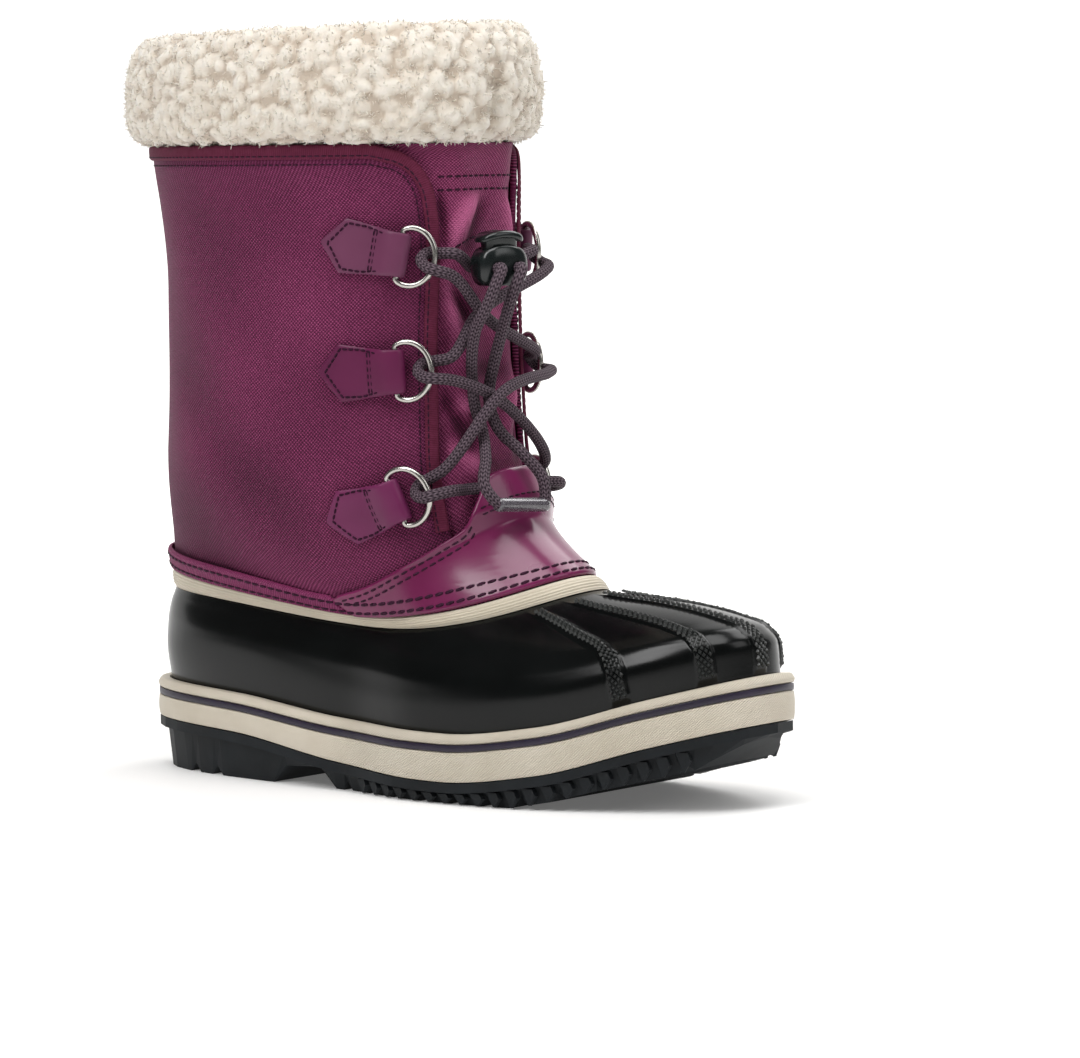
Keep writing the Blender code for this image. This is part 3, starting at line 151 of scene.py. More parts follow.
@dataclass(frozen=True)
class Last:
    """The one surface that every piece follows, from the foxing's foot to the leg's top edge."""

    sole_length: float = 0.255
    heel_to_origin: float = 0.036
    ball_width: float = 0.089
    leg_width: float = 0.101
    shell_height: float = 0.061
    leg_height: float = 0.218
    sole_drop: float = 0.0298
    band: float = 0.0158
    dip_centre: float = 0.25
    foot_outline: tuple = (
        (0.00, 0.385, 0.385),
        (0.14, 0.385, 0.385),
        (0.40, 0.410, 0.355),
        (0.55, 0.505, 0.410),
        (0.70, 0.525, 0.475),
        (0.85, 0.487, 0.473),
        (1.00, 0.430, 0.430),
    )
    sole_line: tuple = (
        (0.00, 0.617, 0.835),
        (0.20, 0.557, 0.835),
        (0.42, 0.322, 0.940),
        (0.60, 0.252, 1.000),
        (0.74, 0.383, 1.000),
        (0.88, 0.718, 0.985),
        (1.00, 1.000, 0.975),
    )
    foot_sections: tuple = (
        (0.0, 0.002, 0.988, 0.970, 1.0, 0.000, 0.000, 0.000, 2.50),
        (0.2, -0.004, 0.985, 0.985, 1.0, 0.190, 0.150, 0.150, 2.50),
        (0.4, -0.004, 0.968, 0.975, 0.9, 0.380, 0.305, 0.330, 2.45),
        (0.6, -0.001, 0.925, 0.940, 0.7, 0.590, 0.460, 0.560, 2.40),
        (0.8, 0.004, 0.835, 0.885, 0.5, 0.755, 0.615, 0.805, 2.30),
        (1.0, 0.009, 0.715, 0.810, 0.3, 0.900, 0.795, 1.000, 2.20),
    )
    leg_sections: tuple = (
        (1.0, 0.009, 0.715, 0.810, 0.0, 0.000, 0.000, 0.000, 2.20),
        (1.2, 0.014, 0.612, 0.890, 0.5, 0.105, 0.092, 0.153, 2.15),
        (1.4, 0.028, 0.560, 0.953, 1.0, 0.342, 0.340, 0.377, 2.10),
        (1.7, 0.036, 0.552, 0.953, 1.0, 0.676, 0.679, 0.680, 2.10),
        (2.0, 0.016, 0.552, 1.005, 1.0, 1.000, 1.000, 1.000, 2.10),
        (2.3, 0.012, 0.556, 1.015, 1.0, 1.200, 1.200, 1.200, 2.10),
    )
    throat_edge: tuple = (
        (1.20, 0.098),
        (1.28, 0.088),
        (1.40, 0.077),
        (1.60, 0.073),
        (1.80, 0.068),
        (1.88, 0.071),
        (1.94, 0.083),
        (1.98, 0.104),
        (2.00, 0.132),
    )

    @staticmethod
    def column(table: tuple, index: int, at: Array) -> Array:
        """One column of a table, read at the places in its first column."""
        return smooth_table([row[0] for row in table], [row[index] for row in table], at)

    def half_width(self, station: Array, lateral: Array) -> Array:
        """Half the foot's width at a station, on one side or the other."""
        left = self.column(self.foot_outline, 1, station)
        right = self.column(self.foot_outline, 2, station)
        return self.ball_width * np.where(lateral, left, right)

    def sole_height(self, station: Array) -> Array:
        """Height of the foxing's lower edge."""
        return self.sole_drop * self.column(self.sole_line, 1, station)

    def band_height(self, station: Array) -> Array:
        """Height of the foxing itself."""
        return self.band * self.column(self.sole_line, 2, station)

    def dipped(self, along: Array, back: Array, side: Array, front: Array) -> Array:
        """A height that is lowest a little ahead of the middle."""
        ahead = np.clip((along - self.dip_centre) / (1 - self.dip_centre), 0, 1) ** 2
        behind = np.clip((self.dip_centre - along) / (1 + self.dip_centre), 0, 1) ** 1.2
        return side + (front - side) * ahead + (back - side) * behind

    @staticmethod
    def oval(around: Array, roundness: Array) -> tuple[Array, Array]:
        """Along and across shares of a rounded outline."""
        angle = TAU * np.asarray(around, float)
        power = 2 / roundness
        along = np.sign(np.cos(angle)) * np.abs(np.cos(angle)) ** power
        across = np.sign(np.sin(angle)) * np.abs(np.sin(angle)) ** power
        return along, across

    def foot_point(self, around: Array, level: Array) -> Array:
        """Points of the rubber foot's outer surface."""
        back, front, side, follow, rise_back, rise_side, rise_front, roundness = (
            self.column(self.foot_sections, i, level) for i in range(1, 9)
        )
        along, across = self.oval(around, roundness)
        station = (front + back) / 2 + (front - back) / 2 * along
        y = -self.half_width(station, across > 0) * side * across
        rise = self.shell_height * self.dipped(along, rise_back, rise_side, rise_front)
        z = follow * (self.sole_height(station) + self.band_height(station)) + rise
        return np.stack([station * self.sole_length - self.heel_to_origin, y, z], axis=-1)

    def leg_point(self, around: Array, level: Array) -> Array:
        """Points of the leg's outer surface."""
        back, front, side, leg, climb_back, climb_side, climb_front, roundness = (
            self.column(self.leg_sections, i, level) for i in range(1, 9)
        )
        along, across = self.oval(around, roundness)
        station = (front + back) / 2 + (front - back) / 2 * along
        foot_half = self.half_width(station, across > 0) * side
        y = -((1 - leg) * foot_half + leg * self.leg_width / 2 * side) * across
        edge = self.foot_point(around, np.ones_like(np.asarray(around, float)))[..., 2]
        climb = self.dipped(along, climb_back, climb_side, climb_front)
        z = edge + (self.leg_height - edge) * climb
        return np.stack([station * self.sole_length - self.heel_to_origin, y, z], axis=-1)

    def surface(self, around: Array, level: Array) -> Array:
        """Points of the outer surface."""
        around, level = np.broadcast_arrays(np.asarray(around, float), np.asarray(level, float))
        foot = self.foot_point(around, np.minimum(level, 1.0))
        leg = self.leg_point(around, np.maximum(level, 1.0))
        return np.where((level > 1.0)[..., None], leg, foot)

    def outward(self, around: Array, level: Array) -> Array:
        """Unit normals of the surface, facing out."""
        around, level = np.broadcast_arrays(np.asarray(around, float), np.asarray(level, float))
        turn = self.surface(around + TURN_STEP, level) - self.surface(around - TURN_STEP, level)
        above = self.surface(around, level + LEVEL_STEP)
        below = self.surface(around, np.maximum(level - LEVEL_STEP, 0))
        return unit(np.cross(above - below, turn))

    def skin(self, around: Array, level: Array, out: Array) -> Array:
        """Points at a distance out from the surface."""
        around, level, out = np.broadcast_arrays(
            np.asarray(around, float), np.asarray(level, float), np.asarray(out, float)
        )
        return self.surface(around, level) + self.outward(around, level) * out[..., None]

    def sole_ring(self, around: Array, out: Array, rise: Array) -> Array:
        """Points round the foot's lowest ring, pushed out in plan, at a rise above the sole line."""
        around, out, rise = np.broadcast_arrays(
            np.asarray(around, float), np.asarray(out, float), np.asarray(rise, float)
        )
        base = self.surface(around, 0.0)
        step = 0.003
        ahead = self.surface(around + step, 0.0) - self.surface(around - step, 0.0)
        normal = unit(-np.stack([ahead[..., 1], -ahead[..., 0], np.zeros_like(around)], axis=-1))
        points = base + normal * out[..., None]
        points[..., 2] = self.sole_height(self.station_of(base)) + rise
        return points

    def station_of(self, points: Array) -> Array:
        """Share of the sole's length at which points lie."""
        return (points[..., 0] + self.heel_to_origin) / self.sole_length

    def level_at(self, around: Array, distance: Array, start: float = 1.0) -> Array:
        """Levels at a distance above the start level, measured along the surface."""
        around = np.atleast_1d(np.asarray(around, float))
        distance = np.broadcast_to(np.asarray(distance, float), around.shape)
        levels = np.linspace(start - 0.1, start + 0.7, 161)
        line = self.surface(around[:, None], levels[None, :])
        steps = np.linalg.norm(np.diff(line, axis=1), axis=2)
        reach = np.concatenate([np.zeros((len(around), 1)), np.cumsum(steps, axis=1)], axis=1)
        return np.array([
            np.interp(d, r - np.interp(start, levels, r), levels) for d, r in zip(distance, reach)
        ])

    def throat_half(self, level: Array) -> Array:
        """How far round from the toe the quarter's front edge lies."""
        return self.column(self.throat_edge, 1, level)

    def turn_for(self, around: float, level: float, width: float) -> float:
        """How much round the boot a width covers at one place."""
        ahead = self.surface(around + TURN_STEP, level) - self.surface(around, level)
        return width * TURN_STEP / float(np.linalg.norm(ahead))

    def axes_at(self, turn: float, level: float, tilt: float, side: Side) -> tuple[Array, ...]:
        """Origin, forward, up and out at a place on the leg, with forward tilted up by an angle."""
        origin = self.surface(turn, level)
        out = self.outward(turn, level)
        step = 2 * TURN_STEP * side.value
        ahead = self.surface(turn - step, level) - self.surface(turn + step, level)
        ahead = ahead - out * float(np.dot(ahead, out))
        ahead[2] = 0.0
        ahead /= np.linalg.norm(ahead)
        up = np.cross(out, ahead)
        up = up if up[2] > 0 else -up
        angle = math.radians(tilt)
        forward = ahead * math.cos(angle) + up * math.sin(angle)
        upward = up * math.cos(angle) - ahead * math.sin(angle)
        return origin, forward, upward, out

    def wrapped(
        self, turn: float, level: float, tilt: float, side: Side, along: Array, across: Array, out: Array
    ) -> Array:
        """Points laid on the leg: along and across are distances on the surface from one place."""
        origin, forward, upward, _ = self.axes_at(turn, level, tilt, side)
        per_turn = (self.surface(turn + TURN_STEP, level) - origin) / TURN_STEP
        per_level = (self.surface(turn, level + LEVEL_STEP) - origin) / LEVEL_STEP
        basis = np.stack([per_turn, per_level], axis=1)
        along, across, out = np.broadcast_arrays(
            np.asarray(along, float), np.asarray(across, float), np.asarray(out, float)
        )
        wanted = along[..., None] * forward + across[..., None] * upward
        move = np.linalg.lstsq(basis, wanted.reshape(-1, 3).T, rcond=None)[0]
        turns = turn + move[0].reshape(along.shape)
        levels = level + move[1].reshape(along.shape)
        return self.skin(turns, levels, out)


LAST = Last()


def fold(t: Array, centre: float, width: float) -> Array:
    """A soft ridge of height 1 across one direction."""
    return np.exp(-(((np.asarray(t, float) - centre) / width) ** 2))


def curve_points(route: Sequence[Sequence[float]], step: float, closed: bool = False) -> Array:
    """Points at even distances on a smooth curve through a route.

    Args:
        route: The route's own points.
        step: The distance between the points that come out.
        closed: Whether the curve meets its own start.

    Returns:
        The points, one row each.
    """
    route = np.array(route, float)
    if closed:
        route = np.concatenate([route[-3:], route, route[:4]])
    at = np.concatenate([[0.0], np.cumsum(np.linalg.norm(np.diff(route, axis=0), axis=1) ** 0.75)])
    slope = np.gradient(route, at, axis=0)
    fine = []
    first, last = (3, len(route) - 4) if closed else (0, len(route) - 1)
    for i in range(first, last):
        gap = at[i + 1] - at[i]
        for t in np.linspace(0, 1, 24, endpoint=False):
            start = (2 * t**3 - 3 * t**2 + 1) * route[i] + (t**3 - 2 * t**2 + t) * gap * slope[i]
            end = (3 * t**2 - 2 * t**3) * route[i + 1] + (t**3 - t**2) * gap * slope[i + 1]
            fine.append(start + end)
    fine.append(route[last])
    fine = np.array(fine)
    along = run_lengths(fine)
    count = max(4, int(round(along[-1] / step)) + 1)
    even = np.linspace(0, along[-1], count)
    points = np.stack([np.interp(even, along, fine[:, k]) for k in range(3)], axis=1)
    return points[:-1] if closed else points


class MeshKit:
    """Makes meshes from grids of points, with a map in metres for weaves."""

    @staticmethod
    def add(name: str, points: Array, faces: Array, corner_map: Optional[Array], look: Material) -> Object:
        """Make one smooth-shaded object.

        Args:
            name: The piece's name.
            points: Its points.
            faces: Its quads, as indices.
            corner_map: The map's two numbers at each quad's corners, or None.
            look: Its finish.

        Returns:
            The new object.
        """
        mesh = bpy.data.meshes.new(name)
        mesh.from_pydata(points.reshape(-1, 3).tolist(), [], faces.tolist())
        mesh.update()
        if corner_map is not None:
            layer = mesh.uv_layers.new(name="map")
            layer.data.foreach_set("uv", corner_map.reshape(-1).astype(np.float32))
        mesh.polygons.foreach_set("use_smooth", np.ones(len(mesh.polygons), bool))
        mesh.materials.append(look)
        return add_object(name, mesh)

    @staticmethod
    def outwards(points: Array, faces: Array, corner_map: Optional[Array]) -> tuple[Array, Optional[Array]]:
        """Turn all faces of a closed body so that they point out."""
        a, b, c, d = (points[faces[:, k]] for k in range(4))
        volume = (np.einsum("ij,ij->i", a, np.cross(b, c)) + np.einsum("ij,ij->i", a, np.cross(c, d))).sum()
        if volume < 0:
            faces = faces[:, ::-1]
            corner_map = None if corner_map is None else corner_map[:, ::-1]
        return faces, corner_map

    @classmethod
    def hoop(cls, name: str, grid: Array, look: Material) -> Object:
        """A closed hoop through a grid of rows and columns that wraps both ways."""
        rows, cols = grid.shape[:2]
        r, c = cells(rows, cols)
        faces = np.stack([(a % rows) * cols + b % cols for a, b in corners(r, c)], axis=1)
        places = cls.measure(grid, True, True)
        corner = np.stack([places[a, b] for a, b in corners(r, c)], axis=1)
        points = grid.reshape(-1, 3)
        faces, corner = cls.outwards(points, faces, corner)
        return cls.add(name, points, faces, corner, look)

    @staticmethod
    def measure(grid: Array, wrap_rows: bool, wrap_cols: bool) -> Array:
        """Distances along a grid's columns and rows, for a map in metres."""
        full = grid
        if wrap_cols:
            full = np.concatenate([full, full[:, :1]], axis=1)
        if wrap_rows:
            full = np.concatenate([full, full[:1]], axis=0)
        across = np.linalg.norm(np.diff(full, axis=1), axis=2).mean(axis=0)
        along = np.linalg.norm(np.diff(full, axis=0), axis=2).mean(axis=1)
        u = np.concatenate([[0.0], np.cumsum(across)])
        v = np.concatenate([[0.0], np.cumsum(along)])
        return np.stack(np.broadcast_arrays(u[None, :], v[:, None]), axis=-1).copy()

    @classmethod
    def slab(cls, name: str, outer: Array, inner: Array, look: Material) -> Object:
        """A wall between two grids of points, closed along all four edges."""
        rows, cols = outer.shape[:2]
        size = rows * cols
        last_row, last_col = rows - 1, cols - 1
        r, c = cells(last_row, last_col)
        front = np.stack([a * cols + b for a, b in corners(r, c)], axis=1)
        rim = np.concatenate([
            np.arange(last_col),
            np.arange(last_row) * cols + last_col,
            last_row * cols + np.arange(last_col, 0, -1),
            np.arange(last_row, 0, -1) * cols,
        ])
        follow = np.roll(rim, -1)
        sides = np.stack([follow, rim, rim + size, follow + size], axis=1)
        faces = np.concatenate([front, front[:, ::-1] + size, sides])
        flat = cls.measure(outer, False, False).reshape(-1, 2)
        edges = np.stack([follow, rim, rim, follow], axis=1)
        corner = np.concatenate([flat[front], flat[front[:, ::-1]], flat[edges]])
        points = np.concatenate([outer.reshape(-1, 3), inner.reshape(-1, 3)])
        faces, corner = cls.outwards(points, faces, corner)
        return cls.add(name, points, faces, corner, look)

    @classmethod
    def tube(
        cls, name: str, path: Array, radius: Array, look: Material, sides: int = 12, closed: bool = False
    ) -> Object:
        """A round tube along a path, with closed ends or joined end to end."""
        path = np.asarray(path, float)
        count = len(path)
        radius = np.broadcast_to(np.asarray(radius, float), (count,))
        if closed:
            ahead = unit(np.roll(path, -1, axis=0) - np.roll(path, 1, axis=0))
        else:
            ahead = unit(np.gradient(path, axis=0))
        steep = abs(ahead[0][2]) >= 0.9
        side = np.cross(ahead[0], (1.0, 0.0, 0.0) if steep else (0.0, 0.0, 1.0))
        angle = TAU * np.arange(sides) / sides
        grid = []
        for point, direction, size in zip(path, ahead, radius):
            side = side - direction * np.dot(side, direction)
            side /= np.linalg.norm(side)
            third = np.cross(direction, side)
            grid.append(point + size * (np.cos(angle)[:, None] * side + np.sin(angle)[:, None] * third))
        points = np.array(grid).reshape(-1, 3)
        along = run_lengths(path)
        if closed:
            along = np.append(along, along[-1] + np.linalg.norm(path[-1] - path[0]))
        around = np.arange(sides + 1) / sides
        r, c = cells(count if closed else count - 1, sides)
        faces = np.stack([(a % count) * sides + b % sides for a, b in corners(r, c)], axis=1)
        corner = np.stack([np.stack([along[a], around[b]], axis=1) for a, b in corners(r, c)], axis=1)
        if not closed:
            faces = np.concatenate([faces, *cls.caps(count, sides)])
            points = np.concatenate([points, path[:1], path[-1:]])
            corner = np.concatenate([corner, np.zeros((len(faces) - len(corner), 4, 2))])
        faces, corner = cls.outwards(points, faces, corner)
        return cls.add(name, points, faces, corner, look)

    @staticmethod
    def caps(count: int, sides: int) -> list[Array]:
        """Quads that close a tube's ends round one more point each, after the tube's own points."""
        fans = []
        k = np.arange(0, sides, 2)
        for row, tip, turn in ((0, count * sides, 1), (count - 1, count * sides + 1, -1)):
            start = row * sides
            ring = [start + k, np.full(len(k), tip), start + (k + 2) % sides, start + (k + 1) % sides]
            fans.append(np.stack(ring, axis=1)[:, ::turn])
        return fans


@dataclass
class Paint:
    """Builds one procedural finish, node by node."""

    name: str
    colour: tuple = (0.5, 0.5, 0.5)
    roughness: float = 0.5
    metallic: float = 0.0
    material: Material = field(init=False)

    def __post_init__(self) -> None:
        """Make the material with its shader."""
        self.material = bpy.data.materials.new(self.name)
        self.material.use_nodes = True
        self.tree = self.material.node_tree
        self.shader = self.tree.nodes["Principled BSDF"]
        self.set("Base Color", (*self.colour, 1.0))
        self.set("Roughness", self.roughness)
        self.set("Metallic", self.metallic)

    def set(self, socket: str, value: object) -> None:
        """Set one of the shader's own sockets."""
        self.shader.inputs[socket].default_value = value

    def node(self, kind: str, inputs: Optional[dict] = None, **facts: object) -> Node:
        """Add a node.

        Args:
            kind: The node's type.
            inputs: Values or sockets for its inputs, by name or number.
            facts: Its own properties.

        Returns:
            The node.
        """
        return NodeKit.node(self.tree, kind, inputs or {}, **facts)

    def math(
        self, operation: str, a: object, b: object = 0.0, c: object = 0.0, clamp: bool = False
    ) -> Socket:
        """One sum."""
        inputs = {0: a, 1: b, 2: c}
        return self.node("ShaderNodeMath", inputs, operation=operation, use_clamp=clamp).outputs[0]

    def place(self) -> Socket:
        """Object coordinates."""
        return self.node("ShaderNodeTexCoord").outputs["Object"]

    def noise(
        self, scale: float, detail: float = 3.0, at: Optional[Socket] = None, roughness: float = 0.5
    ) -> Socket:
        """A noise pattern, read at object coordinates."""
        inputs = {"Vector": at or self.place(), "Scale": scale, "Detail": detail, "Roughness": roughness}
        return self.node("ShaderNodeTexNoise", inputs).outputs["Fac"]

    def ramp(self, fac: Socket, stops: Sequence[tuple]) -> Socket:
        """A colour ramp with stops of place and colour."""
        made = self.node("ShaderNodeValToRGB", {0: fac})
        band = made.color_ramp
        while len(band.elements) < len(stops):
            band.elements.new(0.5)
        for element, (at, colour) in zip(band.elements, stops):
            element.position = at
            element.color = (*colour, 1.0)
        return made.outputs["Color"]

    def map_axes(self) -> tuple[Socket, Socket]:
        """The two numbers of the piece's own map."""
        split = self.node("ShaderNodeSeparateXYZ", {0: self.node("ShaderNodeUVMap", uv_map="map").outputs[0]})
        return split.outputs[0], split.outputs[1]

    def wave(self, along: Socket, pitch: float, shift: float = 0.0) -> Socket:
        """A sine wave of one pitch in metres."""
        return self.math("SINE", self.math("MULTIPLY_ADD", along, TAU / pitch, shift))

    def bump(
        self, height: Socket, distance: float, strength: float = 1.0, under: Optional[Socket] = None
    ) -> Socket:
        """A bump, laid over another one where it is given."""
        inputs = {"Height": height, "Distance": distance, "Strength": strength}
        if under is not None:
            inputs["Normal"] = under
        return self.node("ShaderNodeBump", inputs).outputs[0]

    def finish(
        self,
        colour: Optional[Socket] = None,
        roughness: Optional[Socket] = None,
        normal: Optional[Socket] = None,
    ) -> Material:
        """Link what was made to the shader and return the material."""
        for socket, value in (("Base Color", colour), ("Roughness", roughness), ("Normal", normal)):
            if value is not None:
                self.tree.links.new(value, self.shader.inputs[socket])
        return self.material


@dataclass(frozen=True)
class WovenNylon:
    """Coated nylon with a square weave, in two tones of one hue; its hollows and folds carry painted shade
    and its raised threads a painted highlight.
    """

    name: str = "woven_nylon"
    low: tuple = (0.041, 0.005, 0.020)
    mid: tuple = (0.146, 0.016, 0.068)
    high: tuple = (0.362, 0.073, 0.186)
    pitch: float = 1.35 * MM
    lean: float = 0.0
    roughness: float = 0.62
    # How strongly the folds are painted: painted shade in the hollows, painted light on the ridges.
    painted_fold_shade: float = 0.14

    def build(self) -> Material:
        """Make the material."""
        paint = Paint(self.name, self.mid, self.roughness)
        paint.set("Sheen Weight", 0.03)
        paint.set("Sheen Roughness", 0.4)
        paint.set("Specular IOR Level", 0.16)
        u, v = paint.map_axes()
        wobble = paint.math("MULTIPLY_ADD", paint.noise(55.0, 2.0), 0.0016, -0.0008)
        u = paint.math("ADD", paint.math("MULTIPLY_ADD", v, self.lean, u), wobble)
        v = paint.math("ADD", v, wobble)
        weft_pitch = self.pitch * 0.92
        warp = paint.wave(u, self.pitch)
        weft = paint.wave(v, weft_pitch)
        over = paint.math("MULTIPLY_ADD", paint.math("MULTIPLY", warp, weft), 0.5, 0.5)
        thread = paint.math("ABSOLUTE", paint.wave(v, weft_pitch))
        height = paint.math("MULTIPLY_ADD", thread, 0.35, over)
        speck = paint.math("MULTIPLY", paint.noise(900.0, 2.0), 0.30)
        # Painted shade and highlight: the weave's hollows are darker and its raised threads lighter,
        # following the thread height.
        tone = paint.math("ADD", paint.math("MULTIPLY", over, 0.74), speck, clamp=True)
        broad = paint.noise(14.0, 3.0)
        tone = paint.math("MULTIPLY_ADD", broad, 0.30, paint.math("SUBTRACT", tone, 0.15))
        # Painted shade in the folds: the stored fold height darkens the cloth where it folds in and lightens
        # it on the ridges.
        fold_for_painted_shade = paint.node("ShaderNodeAttribute", attribute_name="fold").outputs["Fac"]
        tone = paint.math("MULTIPLY_ADD", fold_for_painted_shade, self.painted_fold_shade, tone, clamp=True)
        colour = paint.ramp(tone, [(0.12, self.low), (0.52, self.mid), (0.95, self.high)])
        shine = paint.math("MULTIPLY_ADD", over, -0.18, self.roughness + 0.08)
        soft = paint.bump(paint.noise(42.0, 3.0), 0.0010, 0.35)
        return paint.finish(colour, shine, paint.bump(height, 0.00030, 1.0, soft))


@dataclass(frozen=True)
class Tape:
    """Folded woven tape with a fine diagonal rib, painted darker in its hollows as painted shade."""

    name: str = "binding_tape"
    low: tuple = (0.070, 0.006, 0.020)
    high: tuple = (0.180, 0.028, 0.072)
    pitch: float = 0.75 * MM

    def build(self) -> Material:
        """Make the material."""
        paint = Paint(self.name, self.high, 0.7)
        paint.set("Specular IOR Level", 0.15)
        u, v = paint.map_axes()
        slope = paint.wave(paint.math("MULTIPLY_ADD", v, 1.0, u), self.pitch)
        cross = paint.wave(v, self.pitch * 0.9)
        height = paint.math("MULTIPLY_ADD", paint.math("MULTIPLY", slope, cross), 0.5, 0.5)
        # Painted shade: the rib's hollows are darker, following its height, over a random tone.
        tone = paint.math("MULTIPLY_ADD", height, 0.55, paint.math("MULTIPLY", paint.noise(600.0, 2.0), 0.45))
        colour = paint.ramp(tone, [(0.15, self.low), (0.9, self.high)])
        return paint.finish(colour, None, paint.bump(height, 0.00012, 0.8))


@dataclass(frozen=True)
class Leather:
    """Smooth coated leather with a faint grain and a few fine creases."""

    name: str = "coated_leather"
    dark: tuple = (0.122, 0.009, 0.053)
    light: tuple = (0.200, 0.018, 0.092)
    roughness: float = 0.30
    coat: float = 0.55
    grain: float = 0.35

    def build(self) -> Material:
        """Make the material."""
        paint = Paint(self.name, self.light, self.roughness)
        paint.set("Coat Weight", self.coat)
        paint.set("Coat Roughness", 0.18)
        paint.set("Specular IOR Level", 0.22)
        at = paint.place()
        cloud = paint.noise(26.0, 4.0, at)
        colour = paint.ramp(cloud, [(0.25, self.dark), (0.75, self.light)])
        pores = paint.node(
            "ShaderNodeTexVoronoi", {"Vector": at, "Scale": 1500.0}, feature="DISTANCE_TO_EDGE"
        ).outputs[0]
        grain = paint.bump(paint.math("MINIMUM", pores, 0.12), 0.00004, self.grain)
        fine = paint.bump(paint.noise(260.0, 4.0, at), 0.00025, 0.25, grain)
        shine = paint.math("MULTIPLY_ADD", paint.noise(70.0, 3.0, at), 0.22, self.roughness - 0.10)
        return paint.finish(colour, shine, fine)


@dataclass(frozen=True)
class MouldedRubber:
    """Moulded rubber: tone, gloss, specks and an optional hatch near the toe."""

    name: str = "black_rubber"
    dark: tuple = (0.0015, 0.0022, 0.0022)
    light: tuple = (0.0045, 0.0058, 0.0058)
    roughness: float = 0.26
    spread: float = 0.16
    grain: float = 0.15
    coat: float = 0.0
    specular: float = 0.5
    hatch: float = 0.0
    hatch_from: float = 0.06
    hatch_pitch: float = 0.9 * MM

    def build(self) -> Material:
        """Make the material."""
        paint = Paint(self.name, self.light, self.roughness)
        paint.set("Coat Weight", self.coat)
        paint.set("Coat Roughness", 0.12)
        paint.set("Specular IOR Level", self.specular)
        at = paint.place()
        colour = paint.ramp(paint.noise(30.0, 5.0, at, 0.6), [(0.3, self.dark), (0.7, self.light)])
        cloud = paint.noise(48.0, 5.0, at, 0.65)
        shine = paint.math("MULTIPLY_ADD", cloud, self.spread, self.roughness - self.spread / 2)
        normal = paint.bump(paint.noise(750.0, 3.0, at), 0.00006, self.grain)
        if self.hatch > 0:
            colour, normal = self.hatched(paint, at, colour, normal)
        return paint.finish(colour, shine, normal)

    def hatched(self, paint: Paint, at: Socket, colour: Socket, normal: Socket) -> tuple[Socket, Socket]:
        """Colour and normal with slanting lines in front of hatch_from."""
        u, v = paint.map_axes()
        height = paint.wave(paint.math("MULTIPLY_ADD", v, 1.6, u), self.hatch_pitch)
        x = paint.node("ShaderNodeSeparateXYZ", {0: at}).outputs[0]
        where = paint.math("MULTIPLY", paint.math("SUBTRACT", x, self.hatch_from), 40.0, clamp=True)
        height = paint.math("MULTIPLY", height, where)
        # Painted shade: the hatch lines are darkened by their height.
        shade = paint.math("MULTIPLY_ADD", height, -0.10, 1.0)
        grey = paint.node("ShaderNodeCombineColor", {0: shade, 1: shade, 2: shade}).outputs[0]
        inputs = {0: 1.0, 6: colour, 7: grey}
        made = paint.node("ShaderNodeMix", inputs, data_type="RGBA", blend_type="MULTIPLY")
        return made.outputs[2], paint.bump(height, 0.00010, self.hatch, normal)


@dataclass(frozen=True)
class Metal:
    """Bright plated wire."""

    name: str = "nickel_wire"
    colour: tuple = (0.50, 0.48, 0.45)
    roughness: float = 0.20

    def build(self) -> Material:
        """Make the material."""
        paint = Paint(self.name, self.colour, self.roughness, 1.0)
        at = paint.place()
        shine = paint.math("MULTIPLY_ADD", paint.noise(300.0, 4.0, at), 0.18, self.roughness - 0.06)
        return paint.finish(None, shine, paint.bump(paint.noise(1200.0, 2.0, at), 0.00003, 0.3))


@dataclass(frozen=True)
class Braid:
    """Round braid: strands that cross at a slant, with painted shade dark in between."""

    name: str = "lace_braid"
    dark: tuple = (0.010, 0.006, 0.009)
    mid: tuple = (0.050, 0.032, 0.044)
    light: tuple = (0.165, 0.120, 0.145)
    pitch: float = 1.5 * MM
    columns: float = 7.0

    def build(self) -> Material:
        """Make the material."""
        paint = Paint(self.name, self.mid, 0.72)
        paint.set("Specular IOR Level", 0.2)
        u, v = paint.map_axes()
        across = paint.math("PINGPONG", paint.math("MULTIPLY", v, self.columns), 0.5)
        run = paint.math("MULTIPLY", u, TAU / self.pitch)
        lines = paint.math("SINE", paint.math("MULTIPLY_ADD", across, 7.5, run))
        spine = paint.math("MULTIPLY", paint.math("ABSOLUTE", paint.math("SUBTRACT", across, 0.25)), -2.6)
        height = paint.math("ADD", paint.math("MULTIPLY_ADD", lines, 0.38, 0.85), spine, clamp=True)
        speck = paint.noise(1500.0, 2.0)
        # Painted shade: the braid is darker between its strands and along the column edges, following their
        # height.
        tone = paint.math("MULTIPLY_ADD", speck, 0.35, paint.math("MULTIPLY", height, 0.70))
        colour = paint.ramp(tone, [(0.15, self.dark), (0.45, self.mid), (0.95, self.light)])
        return paint.finish(colour, None, paint.bump(height, 0.00028, 0.9))


@dataclass(frozen=True)
class Plastic:
    """Satin moulded plastic."""

    name: str = "lock_plastic"
    colour: tuple = (0.006, 0.009, 0.009)
    roughness: float = 0.20

    def build(self) -> Material:
        """Make the material."""
        paint = Paint(self.name, self.colour, self.roughness)
        at = paint.place()
        shine = paint.math("MULTIPLY_ADD", paint.noise(220.0, 4.0, at), 0.20, self.roughness - 0.08)
        return paint.finish(None, shine, paint.bump(paint.noise(900.0, 3.0, at), 0.00005, 0.3))


@dataclass(frozen=True)
class ClearSleeve:
    """Clear shrunk sleeve, through which the braid shows."""

    name: str = "clear_sleeve"
    colour: tuple = (0.115, 0.105, 0.120)
    cover: float = 0.82

    def build(self) -> Material:
        """Make the material."""
        paint = Paint(self.name, self.colour, 0.16)
        paint.set("Alpha", self.cover)
        paint.set("Coat Weight", 1.0)
        paint.set("Coat Roughness", 0.08)
        return paint.finish(None, None, paint.bump(paint.noise(320.0, 3.0), 0.0002, 0.35))


